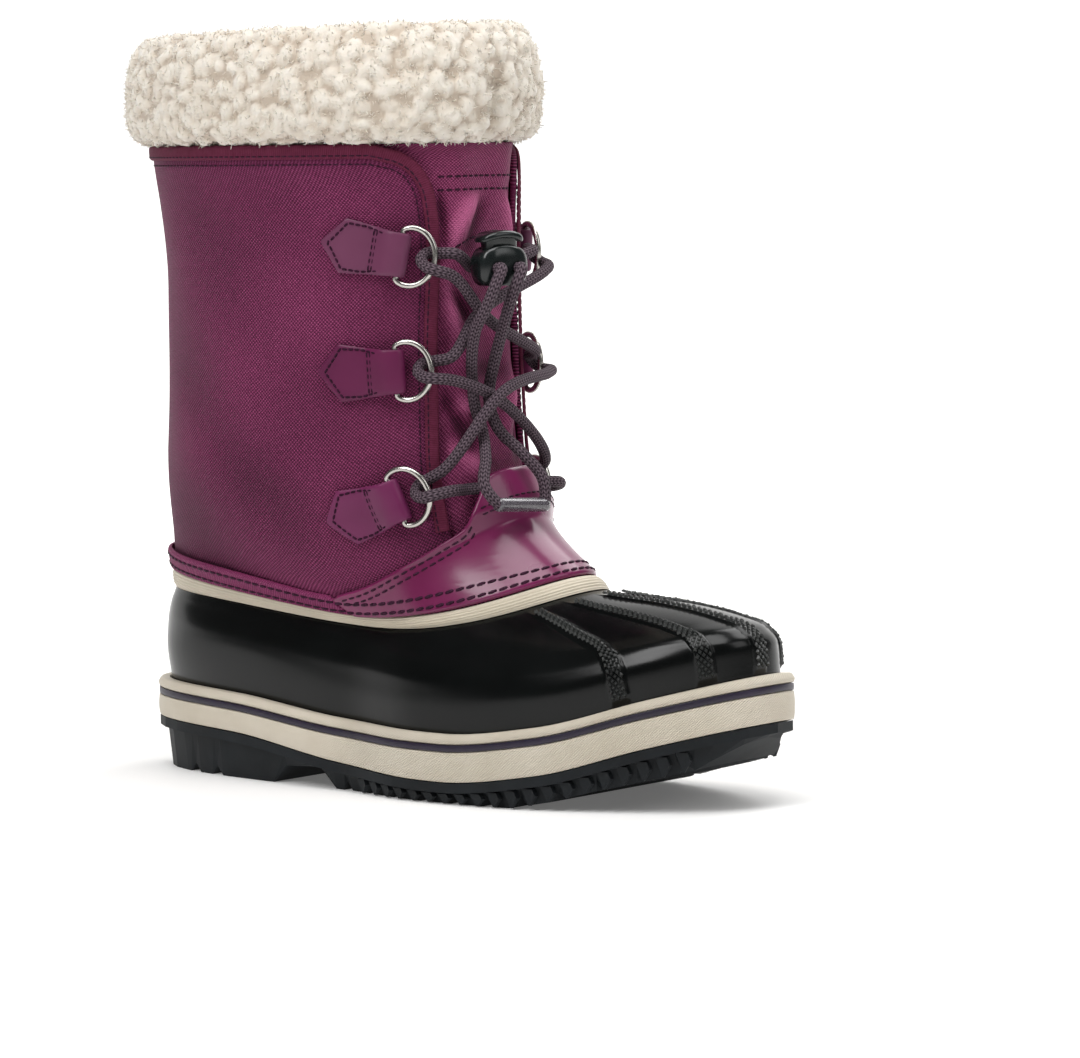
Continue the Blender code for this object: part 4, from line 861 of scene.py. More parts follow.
@dataclass(frozen=True)
class Pile:
    """Wool pile with painted shade and light: pale at the tips, warmer and darker between the curls."""

    name: str = "fleece"
    # Colours from the deepest hollows to the tips: painted shade between the curls, painted light on the
    # tips.
    deep: tuple = (0.540, 0.450, 0.360)
    mid: tuple = (0.700, 0.625, 0.530)
    tip: tuple = (0.790, 0.735, 0.650)
    attribute: str = "depth"

    def build(self) -> Material:
        """Make the material."""
        paint = Paint(self.name, self.mid, 0.95)
        paint.set("Sheen Weight", 0.3)
        paint.set("Sheen Roughness", 0.6)
        paint.set("Subsurface Weight", 0.10)
        paint.set("Subsurface Radius", (0.004, 0.003, 0.002))
        at = paint.place()
        # Painted shade: the stored height of the curls darkens the hollows and lightens the tips.
        depth = paint.node("ShaderNodeAttribute", attribute_name=self.attribute).outputs["Fac"]
        depth = paint.math("SUBTRACT", depth, 0.12)
        tone = paint.math("MULTIPLY_ADD", paint.noise(420.0, 4.0, at), 0.25, depth, clamp=True)
        colour = paint.ramp(tone, [(0.05, self.deep), (0.35, self.mid), (0.80, self.tip)])
        normal = paint.bump(paint.noise(1400.0, 4.0, at, 0.7), 0.0002, 0.8)
        return paint.finish(colour, None, normal)


@dataclass(frozen=True)
class Felt:
    """Pressed wool felt."""

    name: str = "felt"
    dark: tuple = (0.380, 0.340, 0.290)
    light: tuple = (0.640, 0.590, 0.520)

    def build(self) -> Material:
        """Make the material."""
        paint = Paint(self.name, self.light, 0.95)
        at = paint.place()
        colour = paint.ramp(paint.noise(700.0, 5.0, at, 0.7), [(0.3, self.dark), (0.7, self.light)])
        return paint.finish(colour, None, paint.bump(paint.noise(1100.0, 4.0, at), 0.0005, 0.8))


@dataclass(frozen=True)
class Thread:
    """Twisted sewing thread."""

    name: str = "thread"
    colour: tuple = (0.030, 0.007, 0.020)

    def build(self) -> Material:
        """Make the material."""
        paint = Paint(self.name, self.colour, 0.6)
        paint.set("Specular IOR Level", 0.12)
        at = paint.place()
        dark = tuple(v * 0.5 for v in self.colour)
        light = tuple(min(1.0, v * 2.2) for v in self.colour)
        colour = paint.ramp(paint.noise(1600.0, 2.0, at), [(0.3, dark), (0.75, light)])
        return paint.finish(colour, None, paint.bump(paint.noise(2500.0, 2.0, at), 0.0002, 0.6))


class Finishes:
    """All finishes, each made once."""

    def __init__(self) -> None:
        """Build every finish."""
        self.nylon = WovenNylon().build()
        # The tongue's folds carry a strong painted shade.
        self.tongue_nylon = WovenNylon(
            name="tongue_nylon",
            low=(0.050, 0.006, 0.024),
            mid=(0.225, 0.030, 0.104),
            high=(0.500, 0.120, 0.265),
            pitch=1.3 * MM,
            lean=0.35,
            painted_fold_shade=0.42,
        ).build()
        # Partly the strip's own redder tone, partly painted light: the hem's nylon is lighter to make up for
        # less light on the leg's foot, and the backstay shares it.
        self.hem = WovenNylon(
            name="hem_nylon",
            low=(0.086, 0.010, 0.042),
            mid=(0.240, 0.030, 0.115),
            high=(0.440, 0.096, 0.240),
            pitch=1.0 * MM,
        ).build()
        self.tape = Tape().build()
        self.vamp = Leather().build()
        # Painted light: the six tabs are one leather, tinted at each height to how brightly it is lit, the
        # lowest tabs painted lightest.
        tabs = (
            (Place.TOP, (0.100, 0.023, 0.060), (0.160, 0.043, 0.096), 0.44, 0.05),
            (Place.MID, (0.085, 0.008, 0.042), (0.140, 0.017, 0.070), 0.40, 0.08),
            (Place.LOW, (0.118, 0.014, 0.064), (0.190, 0.029, 0.105), 0.40, 0.08),
        )
        self.tabs = {
            place: Leather(f"tab_leather_{place.value}", dark, light, roughness, coat, 0.4).build()
            for place, dark, light, roughness, coat in tabs
        }
        self.shell = MouldedRubber(
            dark=(0.0008, 0.0012, 0.0012),
            light=(0.0026, 0.0034, 0.0034),
            roughness=0.20,
            spread=0.10,
            specular=0.27,
        ).build()
        # Lighter than the shell: partly the rough rubber's duller tone, partly a painted highlight on the
        # bumps.
        self.bumps = MouldedRubber(
            name="toe_bumps",
            dark=(0.010, 0.011, 0.011),
            light=(0.040, 0.044, 0.042),
            roughness=0.36,
            spread=0.2,
        ).build()
        self.outsole = MouldedRubber(
            name="outsole_rubber",
            dark=(0.006, 0.007, 0.008),
            light=(0.014, 0.017, 0.020),
            roughness=0.60,
            spread=0.2,
            grain=0.4,
            specular=0.2,
        ).build()
        self.cream = MouldedRubber(
            name="cream_rubber",
            dark=(0.560, 0.500, 0.400),
            light=(0.660, 0.600, 0.500),
            roughness=0.50,
            spread=0.15,
            grain=0.2,
            specular=0.2,
            hatch=0.9,
            hatch_from=0.055,
            hatch_pitch=1.3 * MM,
        ).build()
        self.rand = MouldedRubber(
            name="rand_rubber",
            dark=(0.520, 0.460, 0.360),
            light=(0.640, 0.575, 0.460),
            roughness=0.52,
            spread=0.15,
            grain=0.2,
        ).build()
        self.stripe = MouldedRubber(
            name="stripe_rubber",
            dark=(0.006, 0.003, 0.013),
            light=(0.016, 0.008, 0.030),
            roughness=0.45,
            spread=0.2,
        ).build()
        self.wire = Metal().build()
        self.braid = Braid().build()
        self.plastic = Plastic().build()
        self.sleeve = ClearSleeve().build()
        self.pile = Pile().build()
        self.felt = Felt().build()
        self.thread = Thread().build()
        self.edge_thread = Thread("edge_thread", (0.022, 0.003, 0.014)).build()


class NodeKit:
    """Geometry Nodes trees for what repeats, each baked into its piece."""

    @staticmethod
    def tree(name: str, sockets: Sequence[tuple[str, str]]) -> tuple[NodeTree, Node, Node]:
        """Start a tree with a geometry socket and the named inputs."""
        made = bpy.data.node_groups.new(name, "GeometryNodeTree")
        made.interface.new_socket("Geometry", in_out="INPUT", socket_type="NodeSocketGeometry")
        made.interface.new_socket("Geometry", in_out="OUTPUT", socket_type="NodeSocketGeometry")
        for label, kind in sockets:
            made.interface.new_socket(label, in_out="INPUT", socket_type=kind)
        return made, made.nodes.new("NodeGroupInput"), made.nodes.new("NodeGroupOutput")

    @staticmethod
    def node(tree: NodeTree, kind: str, inputs: dict, **facts: object) -> Node:
        """Add one node with values or links for its inputs."""
        made = tree.nodes.new(kind)
        for key, value in facts.items():
            setattr(made, key, value)
        for key, value in inputs.items():
            if isinstance(value, Socket):
                tree.links.new(value, made.inputs[key])
            else:
                made.inputs[key].default_value = value
        return made

    @staticmethod
    def bake(piece: Object, tree: NodeTree, values: dict) -> Object:
        """Run a tree on a piece with its inputs set, and keep the result as the piece's mesh."""
        modifier = piece.modifiers.new(tree.name, "NODES")
        modifier.node_group = tree
        for item in tree.interface.items_tree:
            if item.in_out == "INPUT" and item.name in values:
                modifier[item.identifier] = values[item.name]
        piece.update_tag()
        graph = bpy.context.evaluated_depsgraph_get()
        graph.update()
        mesh = bpy.data.meshes.new_from_object(
            piece.evaluated_get(graph), preserve_all_data_layers=True, depsgraph=graph
        )
        piece.modifiers.clear()
        old = piece.data
        piece.data = mesh
        mesh.name = piece.name
        bpy.data.meshes.remove(old)
        return piece


class Scatter:
    """One small template at every point of a cloud, turned by the point's own axes."""

    def __init__(self) -> None:
        """Make the tree once."""
        sockets = [("Template", "NodeSocketObject"), ("Finish", "NodeSocketMaterial")]
        tree, start, end = NodeKit.tree("scatter", sockets)
        add = partial(NodeKit.node, tree)
        forward, up, size = (
            add("GeometryNodeInputNamedAttribute", {"Name": name}, data_type="FLOAT_VECTOR").outputs[0]
            for name in ("forward", "up", "size")
        )
        info = add("GeometryNodeObjectInfo", {0: start.outputs["Template"]})
        turn = add("FunctionNodeAxesToRotation", {0: forward, 1: up}, primary_axis="X", secondary_axis="Z")
        inputs = {
            "Points": start.outputs["Geometry"],
            "Instance": info.outputs["Geometry"],
            "Rotation": turn.outputs[0],
            "Scale": size,
        }
        copies = add("GeometryNodeInstanceOnPoints", inputs)
        real = add("GeometryNodeRealizeInstances", {0: copies.outputs[0]})
        inputs = {"Geometry": real.outputs[0], "Material": start.outputs["Finish"]}
        dressed = add("GeometryNodeSetMaterial", inputs)
        tree.links.new(dressed.outputs[0], end.inputs[0])
        self.tree = tree

    def spread(
        self,
        name: str,
        template: Object,
        look: Material,
        points: Array,
        forward: Array,
        up: Array,
        size: Array,
    ) -> Object:
        """Put the template at every point.

        Args:
            name: The piece's name.
            template: The small mesh object.
            look: Its finish.
            points: One row for each copy.
            forward: The direction of the template's X.
            up: The direction of its Z.
            size: Its scale along each axis.

        Returns:
            The baked piece.
        """
        mesh = bpy.data.meshes.new(name)
        mesh.from_pydata(points.tolist(), [], [])
        for label, values in (("forward", forward), ("up", up), ("size", size)):
            layer = mesh.attributes.new(label, "FLOAT_VECTOR", "POINT")
            layer.data.foreach_set("vector", np.asarray(values, np.float32).reshape(-1))
        piece = add_object(name, mesh)
        NodeKit.bake(piece, self.tree, {"Template": template, "Finish": look})
        return Piece.smooth(piece)


class Templates:
    """The small shapes that Scatter repeats."""

    @staticmethod
    def walls(rows: int, sides: int) -> list[tuple]:
        """Quads between the rings of a small shape, row after row."""
        faces = []
        for row in range(rows):
            near, far = row * sides, (row + 1) * sides
            for k in range(sides):
                n = (k + 1) % sides
                faces.append((near + k, near + n, far + n, far + k))
        return faces

    @staticmethod
    def shape(name: str, points: Sequence[tuple], faces: Sequence[tuple]) -> Object:
        """Put a template in the scene until its copies are baked."""
        mesh = bpy.data.meshes.new(name)
        mesh.from_pydata(points, [], faces)
        return add_object(name, mesh)

    @classmethod
    def capsule(cls) -> Object:
        """A stitch: a rounded rod one unit long, one wide and one high."""
        sides = 6
        rings = ((-0.5, 0.25), (-0.42, 0.75), (0.0, 1.0), (0.42, 0.75), (0.5, 0.25))
        angle = TAU * np.arange(sides) / sides
        points = [(x, 0.5 * r * math.cos(a), 0.5 * r * math.sin(a)) for x, r in rings for a in angle]
        faces = [(a, d, c, b) for a, b, c, d in cls.walls(len(rings) - 1, sides)]
        last = (len(rings) - 1) * sides
        caps = [tuple(range(sides)), tuple(range(last, last + sides))[::-1]]
        return cls.shape("stitch_shape", points, faces + caps)

    @classmethod
    def diamond(cls) -> Object:
        """A rough bump: a blunt four-sided point, one unit across and one high."""
        sides = 4
        rings = ((0.50, -0.10), (0.36, 0.62), (0.16, 1.0))
        angle = [TAU * k / sides for k in range(sides)]
        points = [(r * math.cos(a), r * math.sin(a), z) for r, z in rings for a in angle]
        caps = [(8, 9, 10, 11), (3, 2, 1, 0)]
        return cls.shape("bump_shape", points, cls.walls(len(rings) - 1, sides) + caps)

    @classmethod
    def curl(cls) -> Object:
        """One lock of wool: a thin curved tapering strand, one unit high."""
        sides = 3
        path = ((0.0, 0.0, -0.10, 0.09), (0.20, 0.06, 0.22, 0.08), (0.34, 0.34, 0.42, 0.045))
        angle = [TAU * k / sides for k in range(sides)]
        points = [(x + r * math.cos(a), y + r * math.sin(a), z) for x, y, z, r in path for a in angle]
        last = (len(path) - 1) * sides
        caps = [(2, 1, 0), (last, last + 1, last + 2)]
        return cls.shape("curl_shape", points, cls.walls(len(path) - 1, sides) + caps)

    @classmethod
    def tooth(cls) -> Object:
        """A slanting wedge, one unit long, one high and one thick, thin at its upper end."""
        front = [(-0.42, -0.5), (0.28, -0.5), (0.46, -0.1), (0.10, 0.5), (-0.02, 0.5)]
        points = [(x, y, -0.5) for x, y in front]
        points += [(x * 0.8, y * 0.96, 0.5 if y < 0 else 0.15) for x, y in front]
        count = len(front)
        caps = [tuple(range(count))[::-1], tuple(range(count, 2 * count))]
        return cls.shape("tooth_shape", points, cls.walls(1, count) + caps)


class Sewing:
    """Rows of stitches on any piece."""

    def __init__(self, looks: Finishes) -> None:
        """Make the stitch template and the tree that repeats it."""
        self.looks = looks
        self.scatter = Scatter()
        self.stitch = Templates.capsule()
        self.parts: dict[str, list[Array]] = {}

    def row(
        self,
        group: str,
        points: Array,
        normals: Array,
        pitch: float,
        length: float,
        width: float,
        slant: float = 0.0,
    ) -> None:
        """Lay one row along a line of points.

        Args:
            group: The name of the piece that the row belongs to.
            points: The line.
            normals: Directions away from the cloth, one for each point.
            pitch: From one stitch to the next.
            length: Of one stitch.
            width: Of the thread.
            slant: Turn of each stitch against the line, in radians.
        """
        along = run_lengths(points)
        count = max(1, int(along[-1] / pitch))
        at = (np.arange(count) + 0.5) * along[-1] / count
        reach = pitch * 0.3
        centre = self.read(points, along, at)
        forward = unit(self.read(points, along, at + reach) - self.read(points, along, at - reach))
        up = unit(self.read(normals, along, at))
        side = np.cross(up, forward)
        forward = forward * math.cos(slant) + side * math.sin(slant)
        size = np.tile([length, width, width * 0.8], (count, 1))
        self.parts.setdefault(group, []).append(np.concatenate([centre, forward, up, size], axis=1))

    @staticmethod
    def read(values: Array, along: Array, where: Array) -> Array:
        """Rows of three numbers, read at distances along their line."""
        return np.stack([np.interp(where, along, values[:, k]) for k in range(3)], axis=1)

    def finish(self, group: str, look: Material) -> Object:
        """Make all rows of a group one piece."""
        data = np.concatenate(self.parts[group])
        piece = self.scatter.spread(group, self.stitch, look, *np.split(data, 4, axis=1))
        return Piece.place(piece, "boot", "nylon")


class Piece:
    """What every sub-assembly does with its finished objects."""

    @staticmethod
    def place(piece: Object, body: str, slot: str, nodes: Sequence[str] = ()) -> Object:
        """Fix a piece to its body, in place of the named nodes."""
        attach(piece, body)
        if nodes:
            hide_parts(*nodes)
        LOG.info("%s: %d faces", piece.name, len(piece.data.polygons))
        return piece

    @staticmethod
    def smooth(piece: Object) -> Object:
        """Shade all faces of a piece smooth."""
        faces = piece.data.polygons
        faces.foreach_set("use_smooth", np.ones(len(faces), bool))
        return piece

    @staticmethod
    def crisp(piece: Object, degrees: float) -> Object:
        """Keep a moulded piece's sharper edges sharp under smooth shading."""
        Piece.smooth(piece)
        piece.data.set_sharp_from_angle(angle=math.radians(degrees))
        return piece


def rounded(profile: Array, radius: float) -> Array:
    """Round the corners of a profile of (out, height) rows, for all columns at once."""
    before = np.roll(profile, 1, axis=0) - profile
    after = np.roll(profile, -1, axis=0) - profile
    reach_before = np.linalg.norm(before, axis=-1, keepdims=True)
    reach_after = np.linalg.norm(after, axis=-1, keepdims=True)
    first = profile + before / reach_before * np.minimum(radius, reach_before * 0.45)
    last = profile + after / reach_after * np.minimum(radius, reach_after * 0.45)
    middle = profile * 0.5 + (first + last) * 0.25
    return np.stack([first, middle, last], axis=1).reshape(-1, *profile.shape[1:])


def toe_dense(near: int, far: int, reach: float = 0.17) -> Array:
    """Places round the boot, closer together over the toe."""
    front = np.linspace(-reach, reach, near, endpoint=False)
    back = np.linspace(reach, 1 - reach, far, endpoint=False)
    return np.concatenate([front, back])


@dataclass(frozen=True)
class SoleSizes:
    """Sizes of the foxing, its stripe and the outsole's rim."""

    gap: float = 0.3 * MM
    out: float = 4.6 * MM
    wall: float = 4.1 * MM
    bead: float = 3.1 * MM
    stripe: float = 2.2 * MM
    groove: float = 1.2 * MM
    stripe_wall: float = 0.6 * MM
    rim: float = 3.6 * MM
    tread_out: float = 2.5 * MM
    tooth_pitch: float = 6.8 * MM
    tooth_out: float = 1.6 * MM
    tooth_stations: tuple = (0.43, 0.93)
    tread_line: tuple = (
        (0.00, 0.000),
        (0.70, 0.000),
        (0.76, 0.090),
        (0.82, 0.230),
        (0.88, 0.350),
        (0.94, 0.480),
        (1.00, 0.830),
    )


@dataclass(frozen=True)
class Sole:
    """The outsole, the cream sidewall and its stripe."""

    looks: Finishes
    scatter: Scatter
    sizes: SoleSizes = SoleSizes()

    def build(self) -> None:
        """Make the foxing and its stripe, and dress the outsole."""
        size = self.sizes
        turns = toe_dense(200, 220)
        base = LAST.surface(turns, 0.0)
        band = LAST.band_height(LAST.station_of(base))
        top = band - size.bead
        low = top - size.stripe - 2 * size.gap
        out, inside = size.out, size.out - size.wall
        profile = [
            (out - 0.35 * MM, 0 * band),
            (out, 0.25 * low),
            (out + 0.05 * MM, 0.6 * low),
            (out - 0.2 * MM, low),
            (out - size.groove, low),
            (out - size.groove, top),
            (out - 0.25 * MM, top),
            (out + 0.15 * MM, band - 0.55 * size.bead),
            (out - 1.0 * MM, band),
            (inside, band),
            (inside, 0 * band),
        ]
        grid = self.ring_grid(turns, profile, 0.45 * MM)
        foxing = MeshKit.hoop("sidewall", grid, self.looks.cream)
        Piece.place(foxing, "boot", "cream_rubber", ["foxing"])
        top = top - size.gap
        low = top - size.stripe
        inside = size.out - size.groove + size.gap
        outside = inside + size.stripe_wall
        profile = [
            (inside, low),
            (outside, low),
            (outside + 0.1 * MM, (low + top) / 2),
            (outside, top),
            (inside, top),
        ]
        grid = self.ring_grid(turns, profile, 0.15 * MM)
        stripe = MeshKit.hoop("sidewall_stripe", grid, self.looks.stripe)
        Piece.place(stripe, "boot", "stripe_rubber", ["foxing_stripe"])
        bpy.data.objects["outsole"].material_slots[0].material = self.looks.outsole
        self.build_teeth()

    def build_teeth(self) -> None:
        """Slanting teeth along the tread's side, from the waist to the toe."""
        size = self.sizes
        fine = np.linspace(-0.5, 0.5, 1200, endpoint=False)
        along = run_lengths(self.tread_edge(fine))
        count = int(along[-1] / size.tooth_pitch)
        at = np.interp(np.arange(count) * size.tooth_pitch, along, fine)
        base = self.tread_edge(at)
        station = LAST.station_of(base)
        first, last = size.tooth_stations
        keep = (station > first) & (station < last)
        at, base, station = at[keep], base[keep], station[keep]
        tread = LAST.sole_drop * LAST.column(size.tread_line, 1, station)
        room = base[:, 2] - size.rim - tread
        base[:, 2] = tread + room * 0.5
        ahead = self.tread_edge(at + TURN_STEP) - self.tread_edge(at - TURN_STEP)
        ahead[:, 2] = 0.0
        ahead = unit(ahead)
        out = np.cross(ahead, (0.0, 0.0, 1.0))
        outer = LAST.sole_ring(at, size.tread_out + MM, 0.0) - self.tread_edge(at)
        out[np.einsum("ij,ij->i", out, outer) < 0] *= -1
        flip = np.where(ahead[:, 0] < 0, -1.0, 1.0)
        ones = np.ones(len(at))
        height = np.maximum(room - 0.6 * MM, MM)
        scale = np.stack([size.tooth_pitch * ones, height * flip, size.tooth_out * ones], axis=1)
        template = Templates.tooth()
        look = self.looks.outsole
        teeth = self.scatter.spread(
            "tread_teeth", template, look, base, ahead * flip[:, None], out, scale
        )
        bpy.data.objects.remove(template)
        Piece.crisp(teeth, 25.0)
        Piece.place(teeth, "boot", "outsole_rubber")

    def tread_edge(self, turns: Array) -> Array:
        """Points of the tread's side under the foxing's foot."""
        return LAST.sole_ring(turns, self.sizes.tread_out, 0.0)

    @staticmethod
    def ring_grid(turns: Array, profile: Sequence[tuple], radius: float) -> Array:
        """Points of a hoop round the sole with rounded corners."""
        ones = np.ones(len(turns))
        stacked = np.array([[o * ones, h * ones] for o, h in profile]).transpose(0, 2, 1)
        soft = rounded(stacked, radius)
        return np.array([LAST.sole_ring(turns, row[:, 0], row[:, 1]) for row in soft])


@dataclass(frozen=True)
class ShellSizes:
    """Sizes of the waterproof shell and its toe strips."""

    gap: float = 0.3 * MM
    wall: float = 3.0 * MM
    strips: tuple = (
        # place round at the foot, place at the top, how far the middle bows back
        (-0.122, -0.062, -0.018),
        (-0.060, -0.030, -0.007),
        (0.006, 0.010, 0.0),
        (0.070, 0.050, 0.007),
        (0.132, 0.086, 0.018),
    )
    strip_width: float = 6.6 * MM
    strip_top_width: float = 4.6 * MM
    strip_raise: float = 0.8 * MM
    bump: float = 1.75 * MM
    bump_height: float = 0.85 * MM
    seed: int = 11


@dataclass(frozen=True)
class Shell:
    """The glossy rubber foot with its rough toe strips."""

    looks: Finishes
    scatter: Scatter
    sizes: ShellSizes = ShellSizes()

    @staticmethod
    def strip_centre(low: float, high: float, bow: float, levels: Array) -> Array:
        """Where a strip's middle lies at each level."""
        return low + (high - low) * levels + 4 * bow * levels * (1 - levels)

    def half_width(self, levels: Array) -> Array:
        """Half a strip's width at each level."""
        size = self.sizes
        return (size.strip_width + (size.strip_top_width - size.strip_width) * levels) / 2

    def strip_share(self, turns: Array, levels: Array) -> Array:
        """How far each point is raised by a toe strip, from 0 to 1."""
        step = LAST.surface(turns + TURN_STEP, levels) - LAST.surface(turns, levels)
        reach = np.linalg.norm(step, axis=-1) / TURN_STEP
        half = self.half_width(levels)
        soft = 0.35 * MM
        raised = np.zeros(turns.shape)
        for low, high, bow in self.sizes.strips:
            centre = self.strip_centre(low, high, bow, levels)
            away = np.abs((turns - centre + 0.5) % 1.0 - 0.5) * reach
            raised = np.maximum(raised, 1 - smooth_step(half - soft, half + soft, away))
        ends = smooth_step(0.03, 0.06, levels) * (1 - smooth_step(0.93, 0.965, levels))
        return raised * ends

    def build(self) -> None:
        """Make the shell and the bumps on its strips."""
        size = self.sizes
        turns = toe_dense(300, 150)
        outer_levels = spans((0.0, 0.9, 34), (0.92, 1.0, 6))
        grid = [LAST.sole_ring(turns, np.zeros(len(turns)), size.gap)]
        for level in outer_levels:
            levels = np.full(len(turns), level)
            out = size.strip_raise * self.strip_share(turns, levels) + self.dents(turns, levels)
            grid.append(LAST.skin(turns, levels, out))
        for level in (1.0, 0.8, 0.6, 0.4, 0.2, 0.08):
            grid.append(LAST.skin(turns, level, -size.wall))
        inner = np.full(len(turns), -size.wall)
        grid.append(LAST.sole_ring(turns, inner, size.gap))
        shell = MeshKit.hoop("moulded_shell", np.array(grid), self.looks.shell)
        Piece.crisp(shell, 60.0)
        Piece.place(shell, "boot", "shell_rubber", ["rubber_shell"])
        self.build_bumps()

    @staticmethod
    def dents(turns: Array, levels: Array) -> Array:
        """Soft unevenness of thin moulded rubber."""
        wave = np.sin(TAU * (3 * turns + 0.6 * levels))
        wave = wave + 0.6 * np.sin(TAU * (7 * turns - 1.1 * levels) + 1.3)
        mask = smooth_step(0.1, 0.35, levels) * (1 - smooth_step(0.75, 0.95, levels))
        return 0.22 * MM * wave * mask

    def build_bumps(self) -> None:
        """Set staggered diamond bumps on every toe strip."""
        size = self.sizes
        rng = np.random.default_rng(size.seed)
        fine = np.linspace(0.065, 0.955, 400)
        apart = size.bump * 1.15
        points, normals, ahead = [], [], []
        for low, high, bow in size.strips:
            along = run_lengths(LAST.surface(self.strip_centre(low, high, bow, fine), fine))
            rows = int(along[-1] / (size.bump * 0.62))
            for row in range(rows):
                level = float(np.interp((row + 0.5) * along[-1] / rows, along, fine))
                centre = float(self.strip_centre(low, high, bow, level))
                half = self.half_width(level) - 0.75 * MM
                across = np.arange(-4, 5) * size.bump * 1.15 + 0.5 * apart * (row % 2)
                across = across[np.abs(across) < half]
                turn = centre + across * LAST.turn_for(centre, level, 1.0)
                where = np.full(len(turn), level)
                normals.append(LAST.outward(turn, where))
                points.append(LAST.skin(turn, where, size.strip_raise - 0.05 * MM))
                above = LAST.surface(turn, where + LEVEL_STEP)
                ahead.append(unit(above - LAST.surface(turn, where - LEVEL_STEP)))
        points, normals, ahead = (np.concatenate(rows) for rows in (points, normals, ahead))
        each = np.array([size.bump * 1.25, size.bump, size.bump_height])
        jitter = rng.uniform(0.82, 1.12, (len(points), 3)) * each
        template = Templates.diamond()
        bumps = self.scatter.spread(
            "toe_bumps", template, self.looks.bumps, points, ahead, normals, jitter
        )
        bpy.data.objects.remove(template)
        Piece.crisp(bumps, 30.0)
        Piece.place(bumps, "boot", "shell_rubber")


@dataclass(frozen=True)
class RandSizes:
    """Sizes of the ribbed bead round the shell's edge."""

    gap: float = 0.3 * MM
    lap: float = 1.2 * MM
    height: float = 6.4 * MM
    wall: float = 1.4 * MM
    rib: float = 0.35 * MM
    ribs: int = 6


@dataclass(frozen=True)
class Rand:
    """The ribbed cream bead between shell and leg."""

    looks: Finishes
    sizes: RandSizes = RandSizes()

    def build(self) -> None:
        """Make the bead."""
        size = self.sizes
        turns = toe_dense(160, 240)
        share = np.linspace(0, 1, 6 * size.ribs + 1)
        swell = np.sin(np.pi * np.clip(share * 1.06 - 0.03, 0, 1)) ** 0.35
        wave = 0.5 + 0.5 * np.cos(TAU * size.ribs * share + np.pi)
        out = size.gap + (size.wall - size.rib * (1 - wave)) * swell
        rows = [(-size.lap + (size.lap + size.height) * s, o) for s, o in zip(share, out)]
        grid = [LAST.skin(turns, LAST.level_at(turns, h), o) for h, o in rows]
        back = (size.height * 0.7, -size.lap * 0.5)
        grid += [LAST.skin(turns, LAST.level_at(turns, h), size.gap) for h in back]
        bead = MeshKit.hoop("rand_bead", np.array(grid), self.looks.rand)
        Piece.place(bead, "boot", "cream_rubber", ["shell_rand"])


@dataclass(frozen=True)
class UpperSizes:
    """Sizes of the cloth, leather and tape of the upper."""

    gap: float = 0.3 * MM
    leg_wall: float = 2.2 * MM
    leather: float = 1.4 * MM
    tape: float = 0.9 * MM
    rand_height: float = 6.4 * MM
    hem_height: float = 7.8 * MM
    hem_growth: float = 0.35
    vamp_reach: float = 0.222
    vamp_top: tuple = (
        (0.000, 1.300),
        (0.020, 1.300),
        (0.042, 1.295),
        (0.060, 1.262),
        (0.085, 1.222),
        (0.110, 1.216),
        (0.150, 1.204),
        (0.190, 1.178),
        (0.212, 1.160),
        (0.222, 1.138),
    )
    tab_stand: float = 3.1 * MM
    tongue_wall: float = 1.6 * MM
    tongue_set: float = 3.2 * MM
    throat_lap: float = 0.012
    binding_width: float = 4.7 * MM
    backstay_width: float = 5.2 * MM
    piping_width: float = 2.0 * MM
    creases: tuple = (
        # place round, level, length and width in those units, slope, depth
        (0.078, 1.105, 0.020, 0.0040, 0.9, 0.021),
        (0.098, 1.095, 0.016, 0.0035, 1.2, 0.019),
        (0.070, 1.140, 0.018, 0.0040, 0.8, 0.019),
        (0.116, 1.110, 0.014, 0.0035, 1.4, 0.016),
        (0.088, 1.130, 0.012, 0.0030, 0.4, 0.016),
        (-0.080, 1.110, 0.020, 0.0040, -1.0, 0.020),
        (0.050, 1.090, 0.018, 0.0035, 0.3, 0.013),
    )


@dataclass(frozen=True)
class Fold:
    """One soft fold of cloth: its two ends as place and level, its width and its height in millimetres."""

    start: tuple
    end: tuple
    width: float
    height: float

    def share(self, turns: Array, levels: Array, level_scale: float = 0.25) -> Array:
        """Its height at each place, in millimetres; levels count for less than places round."""
        a = np.array([self.start[0], self.start[1] * level_scale])
        b = np.array([self.end[0], self.end[1] * level_scale])
        at = np.stack([turns, levels * level_scale], axis=-1)
        run = b - a
        t = np.clip(((at - a) @ run) / (run @ run), 0, 1)
        away = np.linalg.norm(at - a - t[..., None] * run, axis=-1)
        fade = np.sin(np.pi * (0.08 + 0.84 * t))
        return self.height * fade * np.exp(-((away / self.width) ** 2))


TONGUE_FOLDS = (
    Fold((0.068, 1.95), (0.058, 1.78), 0.0060, -1.3),
    Fold((0.008, 1.90), (0.056, 1.77), 0.0090, 1.7),
    Fold((-0.004, 1.87), (0.040, 1.77), 0.0070, -1.3),
    Fold((-0.030, 1.88), (-0.060, 1.74), 0.0085, 1.5),
    Fold((0.064, 1.72), (0.036, 1.56), 0.0075, 1.2),
    Fold((0.050, 1.70), (0.020, 1.58), 0.0060, -1.1),
    Fold((0.020, 1.66), (-0.030, 1.60), 0.0080, 1.0),
    Fold((0.072, 1.48), (0.038, 1.37), 0.0060, -1.5),
    Fold((0.070, 1.43), (0.010, 1.445), 0.0065, 1.3),
    Fold((0.070, 1.37), (0.030, 1.31), 0.0055, 1.4),
    Fold((0.058, 1.34), (0.012, 1.41), 0.0050, -1.2),
    Fold((-0.060, 1.50), (-0.020, 1.38), 0.0065, 1.3),
    Fold((-0.066, 1.40), (-0.030, 1.33), 0.0055, -1.2),
    Fold((0.030, 1.52), (-0.040, 1.50), 0.0065, -0.9),
)
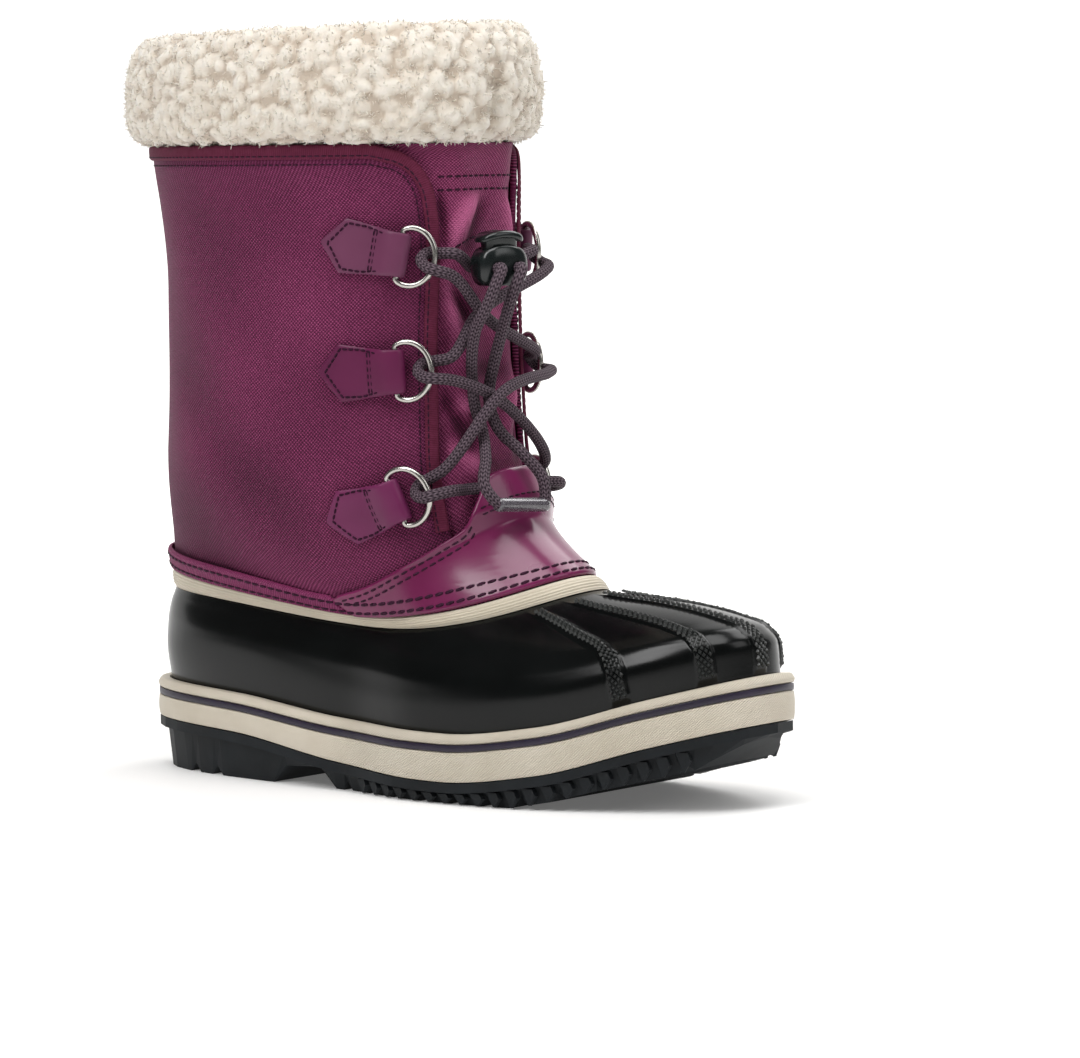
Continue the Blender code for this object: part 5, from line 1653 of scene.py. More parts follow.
QUARTER_FOLDS = (
    Fold((0.46, 1.20), (0.30, 1.30), 0.020, -0.9),
    Fold((0.42, 1.14), (0.26, 1.21), 0.014, -0.7),
    Fold((0.30, 1.42), (0.20, 1.30), 0.016, -0.7),
    Fold((0.40, 1.60), (0.28, 1.46), 0.020, -0.6),
    Fold((-0.46, 1.22), (-0.30, 1.32), 0.020, -0.9),
    Fold((-0.30, 1.44), (-0.20, 1.30), 0.016, -0.7),
    Fold((0.34, 1.90), (0.22, 1.80), 0.020, -0.5),
)


@dataclass(frozen=True)
class Upper:
    """Quarters, hem, vamp, binding, tongue and backstay, with their stitches."""

    looks: Finishes
    sewing: Sewing
    sizes: UpperSizes = UpperSizes()

    def sew(
        self,
        group: str,
        turns: Array,
        levels: Array,
        out: Array,
        pitch: float,
        length: float,
        **facts: float,
    ) -> None:
        """Lay a row of stitches along places on the last."""
        points = LAST.skin(turns, levels, out)
        self.sewing.row(group, points, LAST.outward(turns, levels), pitch, length, **facts)

    def build(self) -> None:
        """Make every cloth and leather piece of the upper."""
        self.build_quarters()
        self.build_hem()
        self.build_vamp()
        self.build_binding()
        self.build_tongue()
        self.build_backstay()

    def wrinkle(self, turns: Array, levels: Array) -> Array:
        """Soft waves of padded cloth, only inwards."""
        turns = (turns + 0.5) % 1.0 - 0.5
        around = np.abs(turns)
        wave = np.sin(TAU * (5.0 * around + 2.2 * levels))
        wave = wave + 0.7 * np.sin(TAU * (9.0 * around - 3.1 * levels) + 0.8)
        mask = smooth_step(1.06, 1.2, levels) * (1 - smooth_step(1.86, 1.98, levels))
        folds = sum(one.share(turns, levels) for one in QUARTER_FOLDS)
        return (-0.28 * (1 + wave / 1.7) * mask + folds * smooth_step(1.04, 1.1, levels)) * MM

    @staticmethod
    def store_fold_for_shade(piece: Object, height: Array) -> None:
        """Keep each outer point's fold height, in millimetres, for the painted shade in the cloth's finish.
        """
        values = np.zeros(len(piece.data.vertices), np.float32)
        values[: height.size] = height.reshape(-1)
        piece.data.attributes.new("fold", "FLOAT", "POINT").data.foreach_set("value", values)

    def build_quarters(self) -> None:
        """The woven leg, open in front."""
        size = self.sizes
        levels = spans((1.0, 1.2, 14), (1.22, 1.84, 50), (1.85, 2.0, 22))
        share = np.linspace(0, 1, 240)
        edge = LAST.throat_half(np.maximum(levels, 1.2))
        turns = edge[:, None] + (1 - 2 * edge[:, None]) * share[None, :]
        heights = np.repeat(levels[:, None], len(share), axis=1)
        heights[0] = LAST.level_at(turns[0], 2 * size.gap)
        wrinkles = self.wrinkle(turns, heights)
        outer = LAST.skin(turns, heights, wrinkles)
        inner = LAST.skin(turns, heights, -size.leg_wall)
        quarters = MeshKit.slab("quarters", outer, inner, self.looks.nylon)
        self.store_fold_for_shade(quarters, wrinkles / MM)
        Piece.place(quarters, "boot", "nylon", ["shaft"])

    @staticmethod
    def crown(share: Array, edge: float) -> Array:
        """Thickness share across a strip: full in the middle, rounded off at both edges."""
        near = np.minimum(share, 1 - share) / edge
        return 0.35 + 0.65 * np.sqrt(1 - (1 - np.clip(near, 0, 1)) ** 2)

    def hem_rise(self, turns: Array) -> Array:
        """How much taller the stitched strip grows towards the vamp."""
        turns = np.abs((turns + 0.5) % 1.0 - 0.5)
        return 1.0 + self.sizes.hem_growth * smooth_step(0.42, 0.23, turns)

    def build_hem(self) -> None:
        """The stitched strip round the leg's foot, behind the vamp."""
        size = self.sizes
        clear = LAST.turn_for(size.vamp_reach, 1.1, size.gap)
        turns = np.linspace(size.vamp_reach + clear, 1 - size.vamp_reach - clear, 240)
        share = spans((0, 0.15, 6), (0.2, 0.8, 9), (0.85, 1, 6))
        low, high = size.rand_height + size.gap, size.rand_height + size.gap + size.hem_height
        tall = (high - low) * self.hem_rise(turns)
        heights = np.array([LAST.level_at(turns, low + tall * s) for s in share])
        across = np.repeat(turns[None, :], len(share), axis=0)
        body = self.crown(share, 0.14)[:, None]
        seams = (0.27, 0.76)
        rows = sum(fold(share, at, 0.05) for at in seams)
        out = size.gap + size.leather * (1.08 * body - 0.22 * rows[:, None])
        outer = LAST.skin(across, heights, out)
        inner = LAST.skin(across, heights, size.gap)
        hem = MeshKit.slab("hem_band", outer, inner, self.looks.hem)
        Piece.place(hem, "boot", "nylon", ["hem_strip"])
        out = size.gap + size.leather * 0.95
        facts = {"pitch": 3.7 * MM, "length": 3.2 * MM, "width": 1.35 * MM, "slant": 0.10}
        for at in seams:
            self.sew("hem_stitches", turns, LAST.level_at(turns, low + tall * at), out, **facts)
        self.sewing.finish("hem_stitches", self.looks.thread)

    def vamp_lift(self, levels: Array) -> Array:
        """How far the vamp stands off the last."""
        return 2 * self.sizes.gap + self.sizes.tab_stand * np.clip((levels - 1.20) / 0.04, 0, 1)

    def crease(self, turns: Array, levels: Array) -> Array:
        """How deep the vamp's creases are at each place."""
        total = np.zeros_like(turns)
        for turn, level, reach, width, slope, depth in self.sizes.creases:
            a, b = turns - turn, levels - level
            run = a + slope * b * 0.5
            off = b - slope * a
            total += depth * MM * (np.exp(-((run / reach) ** 2)) * np.exp(-((off / width) ** 2)))
        return total

    def build_vamp(self) -> None:
        """The smooth leather over the instep, with its tab, creases and double rows."""
        size = self.sizes
        turns = np.linspace(-size.vamp_reach, size.vamp_reach, 281)
        edge = np.linspace(0, 0.06, 6)
        climb = np.concatenate([edge, np.linspace(0.08, 0.92, 50), 1 - edge[::-1]])
        low = LAST.level_at(turns, size.rand_height + size.gap)
        top = LAST.column(size.vamp_top, 1, np.abs(turns))
        heights = low[None, :] + (top - low)[None, :] * climb[:, None]
        across = np.repeat(turns[None, :], len(climb), axis=0)
        body = self.crown(climb, 0.05)[:, None] * np.ones(len(turns))
        ends = self.crown((turns + size.vamp_reach) / (2 * size.vamp_reach), 0.006)[None, :]
        crease = np.minimum(self.crease(across, heights), 0.8 * size.leather)
        base = self.vamp_lift(heights)
        outer = LAST.skin(across, heights, base + size.leather * np.minimum(body, ends) - crease)
        inner = LAST.skin(across, heights, base)
        vamp = MeshKit.slab("instep_vamp", outer, inner, self.looks.vamp)
        Piece.place(vamp, "boot", "leather", ["vamp"])
        self.sew_vamp(turns, low, top)

    def sew_vamp(self, turns: Array, low: Array, top: Array) -> None:
        """Lay the vamp's rows: two along its foot, two under its top edge and two across its tab."""
        size = self.sizes
        group = "vamp_stitches"
        spread = smooth_step(0.03, 0.14, np.abs(turns))
        facts = {"pitch": 3.7 * MM, "length": 3.1 * MM, "width": 1.25 * MM, "slant": 0.10}
        for front, rear in ((2.0 * MM, 2.8 * MM), (5.4 * MM, 8.0 * MM)):
            level = LAST.level_at(turns, size.rand_height + size.gap + front + (rear - front) * spread)
            self.sew(group, turns, level, self.vamp_lift(level) + size.leather, **facts)
        around = np.linspace(0.074, size.vamp_reach - 0.008, 120)
        upper = LAST.column(size.vamp_top, 1, around)
        base = LAST.level_at(around, 0.0)
        step = 0.02
        reach = LAST.surface(around, upper) - LAST.surface(around, upper - step)
        reach = np.linalg.norm(reach, axis=-1)
        facts = {"pitch": 3.3 * MM, "length": 2.5 * MM, "width": 0.85 * MM}
        for side in (1, -1):
            for inset in (2.2 * MM, 4.6 * MM):
                level = upper - inset / reach * step
                keep = level > base + 0.05
                out = self.vamp_lift(level[keep]) + size.leather
                self.sew(group, side * around[keep], level[keep], out, **facts)
        around = np.linspace(-0.062, 0.062, 60)
        facts = {"pitch": 2.7 * MM, "length": 2.1 * MM, "width": 0.75 * MM}
        for height in (1.232, 1.244):
            level = np.full(len(around), height)
            self.sew(group, around, level, self.vamp_lift(level) + size.leather, **facts)
        self.sewing.finish(group, self.looks.thread)

    def binding_edge(self) -> Array:
        """Places along the quarters' free edge, from vamp to vamp."""
        climb = spans((1.235, 1.86, 90), (1.865, 1.998, 40))
        edge = [(float(LAST.throat_half(level)), level) for level in climb]
        edge += [(turn, 2.0) for turn in np.linspace(float(LAST.throat_half(2.0)), 0.5, 80)]
        edge += [(1 - turn, level) for turn, level in edge[-2::-1]]
        return np.array(edge)

    def inset(self, edge: Array, distance: float) -> Array:
        """Places at a distance inside the free edge."""
        points = LAST.surface(edge[:, 0], edge[:, 1])
        along = unit(np.gradient(points, axis=0))
        across = np.cross(LAST.outward(edge[:, 0], edge[:, 1]), along)
        front = edge[:, 1] < 1.9
        behind = np.where(edge[:, 0] < 0.5, -1.0, 1.0)
        wrong = np.where(front, across[:, 1] * behind < 0, across[:, 2] > 0)
        across[wrong] *= -1
        per_turn = (LAST.surface(edge[:, 0] + TURN_STEP, edge[:, 1]) - points) / TURN_STEP
        per_level = (points - LAST.surface(edge[:, 0], edge[:, 1] - LEVEL_STEP)) / LEVEL_STEP
        places = []
        for i in range(len(edge)):
            basis = np.stack([per_turn[i], per_level[i]], axis=1)
            places.append(np.linalg.lstsq(basis, across[i] * distance, rcond=None)[0])
        return edge + np.array(places)

    def build_binding(self) -> None:
        """Folded tape round the quarters' front and top, with its stitches and a cord-like seam."""
        size = self.sizes
        edge = self.binding_edge()
        share = np.linspace(0, 1, 11)
        inner_edge = self.inset(edge, size.binding_width)
        bulge = self.crown(share, 0.38)
        rows = [edge + (inner_edge - edge) * s for s in share]
        outs = [size.gap + size.tape * (1.15 * b) for b in bulge]
        outer = np.array([LAST.skin(row[:, 0], row[:, 1], out) for row, out in zip(rows, outs)])
        inner = np.array([LAST.skin(row[:, 0], row[:, 1], size.gap) for row in rows])
        tape = MeshKit.slab("edge_tape", outer, inner, self.looks.tape)
        Piece.place(tape, "boot", "binding_tape", ["binding"])
        group = "tape_stitches"
        facts = {"pitch": 2.4 * MM, "length": 1.9 * MM}
        row = edge + (inner_edge - edge) * 0.78
        self.sew(group, row[:, 0], row[:, 1], size.gap + size.tape * 1.1, width=0.6 * MM, **facts)
        row = self.inset(edge, size.binding_width + 1.6 * MM)
        row = row[row[:, 1] > 1.26]
        self.sew(group, row[:, 0], row[:, 1], 0.05 * MM, width=0.55 * MM, **facts)
        self.sewing.finish(group, self.looks.thread)

    def build_tongue(self) -> None:
        """The padded tongue with soft slanting folds and a bound top band."""
        size = self.sizes
        levels = spans((1.15, 1.26, 14), (1.27, 1.9, 80), (1.91, 2.0, 20))
        share = np.linspace(-1, 1, 91)
        edge = LAST.throat_half(levels)
        lap = edge + size.throat_lap
        turns = lap[:, None] * share[None, :]
        heights = np.repeat(levels[:, None], len(share), axis=1)
        under = size.leg_wall + 2 * size.gap
        opened = np.clip((levels - 1.20) / 0.06, 0, 1)[:, None]
        middle = -under - (size.tongue_set - under) * opened
        half_way = -under + (under - 1.4 * MM) * opened
        place = np.abs(turns) / edge[:, None]
        bulge = np.where(place < 0.5, place * 2, np.clip(2 - 2 * place, 0, 1))
        bulge = bulge * bulge * (3 - 2 * bulge)
        flat = np.where(place < 0.5, middle, -under)
        base = flat + (half_way - flat) * bulge
        folds = sum(one.share(turns, heights) for one in TONGUE_FOLDS)
        mask = (1 - smooth_step(0.8, 1.05, place)) * smooth_step(1.25, 1.31, heights)
        folds = folds * (mask * (1 - smooth_step(1.86, 1.905, heights)))
        base = base + 1.5 * MM * folds
        band = smooth_step(1.905, 1.912, heights) * (place < 1.2)
        base = base + 0.35 * MM * band
        outer = LAST.skin(turns, heights, base)
        inner = LAST.skin(turns, heights, base - size.tongue_wall)
        tongue = MeshKit.slab("padded_tongue", outer, inner, self.looks.tongue_nylon)
        self.store_fold_for_shade(tongue, folds)
        Piece.place(tongue, "boot", "nylon", ["tongue"])
        around = np.linspace(-0.066, 0.066, 60)
        floor = -size.tongue_set + 0.9 * MM - 1.2 * MM
        facts = {"pitch": 3.0 * MM, "length": 2.3 * MM, "width": 0.8 * MM}
        for level, slope in ((1.893, 0.0), (1.921, 0.0), (1.80, -8.0)):
            where = level + slope * (around**2)
            nearest = [int(np.argmin(np.abs(levels - w))) for w in where]
            out = np.array([np.interp(t, turns[k], base[k]) for t, k in zip(around, nearest)])
            self.sew("tongue_stitches", around, where, np.maximum(out, floor) + 0.1 * MM, **facts)
        self.sewing.finish("tongue_stitches", self.looks.thread)

    def build_backstay(self) -> None:
        """Narrow piping up the back, wider under the collar."""
        size = self.sizes
        low = float(LAST.level_at(0.5, size.rand_height + size.hem_height + 3 * size.gap)[0])
        levels = spans((low, 1.745, 60), (1.75, 1.765, 8), (1.77, 1.955, 30))
        wider = (size.backstay_width - size.piping_width) * smooth_step(1.750, 1.762, levels)
        width = size.piping_width + wider
        share = np.linspace(-1, 1, 11)
        half = np.array([LAST.turn_for(0.5, level, w) / 2 for level, w in zip(levels, width)])
        turns = 0.5 + half[:, None] * share[None, :]
        heights = np.repeat(levels[:, None], len(share), axis=1)
        body = self.crown((share + 1) / 2, 0.35)[None, :]
        outer = LAST.skin(turns, heights, size.gap + size.tape * 1.1 * body)
        inner = LAST.skin(turns, heights, size.gap)
        strip = MeshKit.slab("back_strip", outer, inner, self.looks.hem)
        Piece.place(strip, "boot", "nylon", ["backstay"])


@dataclass(frozen=True)
class HardwareSizes:
    """Sizes of the tabs, rings and their stations."""

    gap: float = 0.3 * MM
    leather: float = 1.4 * MM
    length: float = 24.5 * MM
    height: float = 18.5 * MM
    point: float = 6.5 * MM
    loop_height: float = 14.8 * MM
    tail: float = 5.0 * MM
    wire: float = 2.1 * MM
    ring_height: float = 21.5 * MM
    ring_reach: float = 12.0 * MM
    ring_lift: float = 14.0
    stations: tuple = (
        (Place.LOW, 0.128, 1.315, 22.0),
        (Place.MID, 0.116, 1.545, 3.0),
        (Place.TOP, 0.110, 1.775, -10.0),
    )

    @property
    def seat(self) -> float:
        """How far out of the leg a ring's bar lies."""
        return self.gap + self.leather + self.gap / 2 + self.wire / 2 + self.gap

    def axes(self, place: Place, side: Side) -> tuple[Array, ...]:
        """Origin, forward, up and out at one station."""
        row = next(row for row in self.stations if row[0] is place)
        turn = row[1] if side is Side.LATERAL else 1 - row[1]
        return LAST.axes_at(turn, row[2], row[3], side)


@dataclass(frozen=True)
class Hardware:
    """The six folded lace tabs and the wire rings that stand in them."""

    looks: Finishes
    sewing: Sewing
    sizes: HardwareSizes = HardwareSizes()

    def build(self) -> None:
        """Make a tab and a ring at every station."""
        for place, turn, level, tilt in self.sizes.stations:
            for side in Side:
                around = turn if side is Side.LATERAL else 1 - turn
                name = f"{side.name.lower()}_{place.value}"
                self.build_tab(name, self.looks.tabs[place], around, level, tilt, side)
                self.build_ring(name, around, level, tilt, side)
        self.sewing.finish("tab_stitches", self.looks.edge_thread)

    def centre_line(self) -> Array:
        """The tab's middle line: along, out and half height, from its point round the wire."""
        size = self.sizes
        bore = size.wire / 2 + size.gap
        axis = size.gap + size.leather + size.gap / 2 + bore
        top = axis + bore + size.leather
        flat = size.gap + size.leather / 2
        half, loop = size.height / 2, size.loop_height / 2
        tip, wide = 0.5 * MM, half * 0.98
        rows = [(-size.length, flat, tip)]
        for share in np.linspace(0.04, 1, 12):
            rows.append((-size.length + size.point * share, flat, tip + (wide - tip) * share))
        crest = top - size.leather / 2 - 0.1 * MM
        for share in np.linspace(0.08, 1, 22):
            along = -size.length + size.point + (size.length * 0.90 - size.point) * share
            rise = smooth_step(0.50, 1.0, share)
            rows.append((along, flat + (crest - flat) * rise, wide + (loop - wide) * share))
        reach = bore + size.leather / 2
        for angle in np.linspace(90, -90, 15):
            turned = math.radians(angle)
            rows.append((reach * math.cos(turned), axis + reach * math.sin(turned), loop))
        for share in (0.4, 1.0):
            rows.append((-size.tail * 0.55 * share, axis - bore - size.leather / 2, loop))
        return np.array(rows)

    def puff(self, along: Array) -> Array:
        """How full the flap is at distances along it, from 0 behind its shoulder to 1."""
        return np.clip((along + self.sizes.length - self.sizes.point) / (8 * MM), 0, 1)

    def build_tab(
        self, name: str, look: Material, turn: float, level: float, tilt: float, side: Side
    ) -> None:
        """One house-shaped flap and the loop round its ring."""
        size = self.sizes
        line = self.centre_line()
        ahead = unit(np.gradient(line[:, :2], axis=0))
        normal = np.stack([-ahead[:, 1], ahead[:, 0]], axis=1)
        rim = [0.92, 0.965, 1.0]
        share = np.concatenate([[-r for r in rim[::-1]], np.linspace(-0.8, 0.8, 11), rim])[:, None]
        body = np.sqrt(1 - np.clip((np.abs(share) - 0.9) / 0.1, 0, 1) ** 2 * 0.75)
        tip = np.sqrt(0.35 + 0.65 * np.clip((line[:, 0] + size.length) / (1.2 * MM), 0, 1))
        puff = 0.25 * MM * self.puff(line[:, 0]) * (1 - np.abs(share) ** 4)
        grids = []
        for sign in (1, -1):
            thick = sign * size.leather / 2 * body * tip[None, :]
            thick = thick + (puff if sign > 0 else 0.0)
            along = line[None, :, 0] + normal[None, :, 0] * thick
            out = line[None, :, 1] + normal[None, :, 1] * thick
            across = share * line[None, :, 2]
            grids.append(LAST.wrapped(turn, level, tilt, side, along, across, out))
        tab = MeshKit.slab(f"tab_{name}", grids[0], grids[1], look)
        Piece.crisp(tab, 50.0)
        Piece.place(tab, "boot", "leather", [f"lace_tab_{name}"])
        self.sew_tab(turn, level, tilt, side)

    def sew_tab(self, turn: float, level: float, tilt: float, side: Side) -> None:
        """Lay the outline row and the double row across the tab."""
        size = self.sizes
        flap = self.centre_line()[:36]
        half = size.height / 2 - 1.7 * MM
        front = -6.0 * MM
        shoulder = -size.length + size.point + 0.7 * MM
        outline = [
            (front, half - 1.2 * MM),
            (shoulder + 6 * MM, half),
            (shoulder, half),
            (-size.length + 2.2 * MM, 0.0),
            (shoulder, -half),
            (shoulder + 6 * MM, -half),
            (front, -half + 1.2 * MM),
        ]
        rows = [outline]
        for back in (1.9 * MM, 2.9 * MM):
            rows.append([(front - back, 0.92 * half), (front - back, -0.92 * half)])
        for row in rows:
            row = np.array(row)
            steps = [np.linspace(a, b, 12, endpoint=False) for a, b in zip(row, row[1:])]
            along, across = np.concatenate([*steps, row[-1:]]).T
            out = np.interp(along, flap[:, 0], flap[:, 1]) + size.leather / 2
            out = out + 0.2 * MM * self.puff(along)
            points = LAST.wrapped(turn, level, tilt, side, along, across, out)
            lifted = LAST.wrapped(turn, level, tilt, side, along, across, out + MM)
            self.sewing.row("tab_stitches", points, lifted - points, 2.1 * MM, 1.75 * MM, 0.85 * MM)

    def build_ring(self, name: str, turn: float, level: float, tilt: float, side: Side) -> None:
        """One wire D, lifted a little in front."""
        size = self.sizes
        origin, forward, upward, out = LAST.axes_at(turn, level, tilt, side)
        half = size.ring_height / 2 - size.wire / 2
        route = [(0.0, share * half * 0.86) for share in np.linspace(-1, 1, 9)]
        for angle in np.linspace(98, -98, 25):
            turned = math.radians(angle)
            route.append((size.ring_reach * (0.30 + 0.70 * math.cos(turned)), half * math.sin(turned)))
        lift = math.radians(size.ring_lift)
        centre = [
            origin + out * (size.seat + a * math.sin(lift)) + forward * a * math.cos(lift) + upward * b
            for a, b in route
        ]
        path = curve_points(centre, 0.8 * MM, closed=True)
        ring = MeshKit.tube(f"ring_{name}", path, size.wire / 2, self.looks.wire, 16, closed=True)
        Piece.place(ring, "boot", "wire", [f"d_ring_{name}"])


@dataclass(frozen=True)
class LaceSizes:
    """Sizes and route of the lace and its lock."""

    width: float = 4.0 * MM
    crossings: tuple = ((Place.LOW, 0.0259, 1.454, 0.0089), (Place.MID, 0.0297, 1.635, 0.0044))
    bar_low: tuple = (
        (0.064, 1.288, 0.0016),
        (0.044, 1.279, 0.0014),
        (0.022, 1.271, 0.0008),
        (0.000, 1.268, 0.0004),
    )
    lock_place: tuple = (0.0225, 1.701, 0.0112)
    lock_turn: float = -20.0
    lock_width: float = 19.0 * MM
    lock_depth: float = 12.0 * MM
    lock_height: float = 13.4 * MM
    lock_arch: float = 2.4 * MM
    lock_levels: tuple = (
        # share of the height, share of the width and depth there
        (0.0, 0.70),
        (0.03, 0.78),
        (0.08, 0.86),
        (0.16, 0.93),
        (0.30, 0.985),
        (0.50, 1.01),
        (0.70, 1.0),
        (0.84, 0.965),
        (0.93, 0.91),
        (0.975, 0.86),
        (1.0, 0.80),
    )
    bore: float = 4.8 * MM
    bore_spacing: float = 8.0 * MM
    bore_height: float = 5.8 * MM
    well: tuple = (13.0 * MM, 8.0 * MM, 4.6 * MM)
    button_gap: float = 2.6 * MM
    button_dip: float = 1.5 * MM
    button_cap: float = 2.5 * MM
    button: tuple = (16.5 * MM, 10.5 * MM)
    tube_width: float = 4.8 * MM
    tube_ends: tuple = ((0.0073, -0.0120, -0.0725), (0.0110, 0.0099, -0.0738))
    loop_lateral: tuple = (
        (0.0066, -0.0094, 0.0022),
        (0.0038, -0.0116, -0.0063),
        (-0.0018, -0.0108, -0.0143),
        (-0.0060, -0.0078, -0.0238),
        (-0.0093, -0.0034, -0.0333),
        (-0.0091, -0.0024, -0.0408),
        (-0.0054, -0.0036, -0.0478),
        (0.0008, -0.0097, -0.0577),
        (0.0041, -0.0146, -0.0663),
    )
    loop_medial: tuple = (
        (0.0094, -0.0018, 0.0022),
        (0.0053, -0.0014, -0.0063),
        (-0.0012, 0.0019, -0.0173),
        (-0.0052, 0.0032, -0.0263),
        (-0.0074, 0.0034, -0.0343),
        (-0.0074, 0.0036, -0.0413),
        (-0.0042, 0.0044, -0.0488),
        (0.0038, 0.0064, -0.0563),
        (0.0098, 0.0099, -0.0653),
    )

    @property
    def foot(self) -> Array:
        """The middle of the lock's foot."""
        return LAST.skin(*self.lock_place)

    def lock_point(self, across: float, ahead: float, up: float) -> Array:
        """A point of the lock: across is towards the medial side, ahead is away from the leg."""
        turn = math.radians(self.lock_turn)
        forward = np.array([math.cos(turn), math.sin(turn), 0.0])
        medial = np.array([-math.sin(turn), math.cos(turn), 0.0])
        return self.foot + medial * across + forward * ahead + np.array([0.0, 0.0, up])

    def hole(self, side: Side, ahead: float) -> Array:
        """A point on the middle line of one of the lock's two holes."""
        return self.lock_point(-side.value * self.bore_spacing / 2, ahead, self.bore_height)


@dataclass(frozen=True)
class Lace:
    """The lace through its rings, the loop below the lock and the clear tube on it."""

    looks: Finishes
    hardware: HardwareSizes
    sizes: LaceSizes = LaceSizes()

    def ring_turn(self, place: Place, side: Side) -> list[Array]:
        """Points of the lace through one ring, from its upper strand to its lower one."""
        origin, forward, upward, out = self.hardware.axes(place, side)
        reach = self.hardware.ring_reach
        rows = (
            (reach + 6.0 * MM, 3.4 * MM, 3.0 * MM),
            (reach + 1.0 * MM, 2.7 * MM, 2.5 * MM),
            (reach - 3.0 * MM, 2.1 * MM, 2.9 * MM),
            (reach - 4.8 * MM, -0.2 * MM, 4.8 * MM),
            (reach - 3.0 * MM, -2.3 * MM, 7.4 * MM),
            (reach + 0.5 * MM, -2.9 * MM, 9.5 * MM),
            (reach + 6.0 * MM, -3.8 * MM, 7.2 * MM),
        )
        return [origin + forward * a + upward * b + out * c for a, b, c in rows]

    def crossing(self, place: Place, lift: float) -> Array:
        """A point where a strand passes over or under another."""
        row = next(row for row in self.sizes.crossings if row[0] is place)
        return LAST.skin(row[1], row[2], row[3] + lift)

    def route(self) -> list[Array]:
        """The whole route, from the lock's lateral hole to its medial one."""
        size = self.sizes
        half = size.width / 2 + 0.1 * MM
        near, far = Side.LATERAL, Side.MEDIAL
        inward = (0.0, -size.lock_depth / 2, -size.lock_depth / 2 - size.width)
        start = [size.hole(near, ahead) for ahead in inward]
        end = [size.hole(far, ahead) for ahead in inward[::-1]]
        bar = [LAST.skin(*row) for row in size.bar_low]
        bar += [LAST.skin(1 - row[0], row[1], row[2]) for row in size.bar_low[-2::-1]]
        return [
            *start,
            *self.ring_turn(Place.TOP, near),
            self.crossing(Place.MID, half),
            *self.ring_turn(Place.MID, far),
            self.crossing(Place.LOW, half),
            *self.ring_turn(Place.LOW, near),
            *bar,
            *self.ring_turn(Place.LOW, far)[::-1],
            self.crossing(Place.LOW, -half),
            *self.ring_turn(Place.MID, near)[::-1],
            self.crossing(Place.MID, -half),
            *self.ring_turn(Place.TOP, far)[::-1],
            *end,
        ]

    def build(self) -> None:
        """Make the lace, its loop and the tube."""
        size = self.sizes
        path = curve_points(self.route(), 0.9 * MM)
        strand = MeshKit.tube("lace_strand", path, size.width / 2, self.looks.braid, 12)
        nodes = ["lace_bar_low", "lace_cross_low", "lace_cross_mid", "lace_bar_lateral", "lace_bar_medial"]
        Piece.place(strand, "boot", "lace_braid", nodes)
        self.build_loop()

    def build_loop(self) -> None:
        """The free loop from hole to hole, through the clear tube."""
        size = self.sizes
        front = size.lock_depth / 2
        outward = (front - 1.5 * MM, front + size.width / 2)
        lateral = [size.hole(Side.LATERAL, ahead) for ahead in outward]
        lateral += [size.foot + np.array(row) for row in size.loop_lateral]
        medial = [size.foot + np.array(row) for row in size.loop_medial[::-1]]
        medial += [size.hole(Side.MEDIAL, ahead) for ahead in outward[::-1]]
        first, last = (size.foot + np.array(end) for end in size.tube_ends)
        inside = [first + (last - first) * share for share in (0.06, 0.25, 0.5, 0.75, 0.94)]
        path = curve_points([*lateral, *inside, *medial], 1.0 * MM)
        loop = MeshKit.tube("lace_loop", path, size.width / 2, self.looks.braid, 12)
        ends = np.linspace(0, 1, 22)[:, None]
        line = first + (last - first) * ends
        radius = size.tube_width / 2 * np.where((ends[:, 0] < 0.02) | (ends[:, 0] > 0.98), 0.93, 1.0)
        sleeve = MeshKit.tube("loop_sleeve", line, radius, self.looks.sleeve, 24)
        Piece.place(loop, "boot", "lace_braid", ["lace_loop_lateral", "lace_loop_medial"])
        Piece.place(sleeve, "boot", "clear_tube", ["loop_tube"])


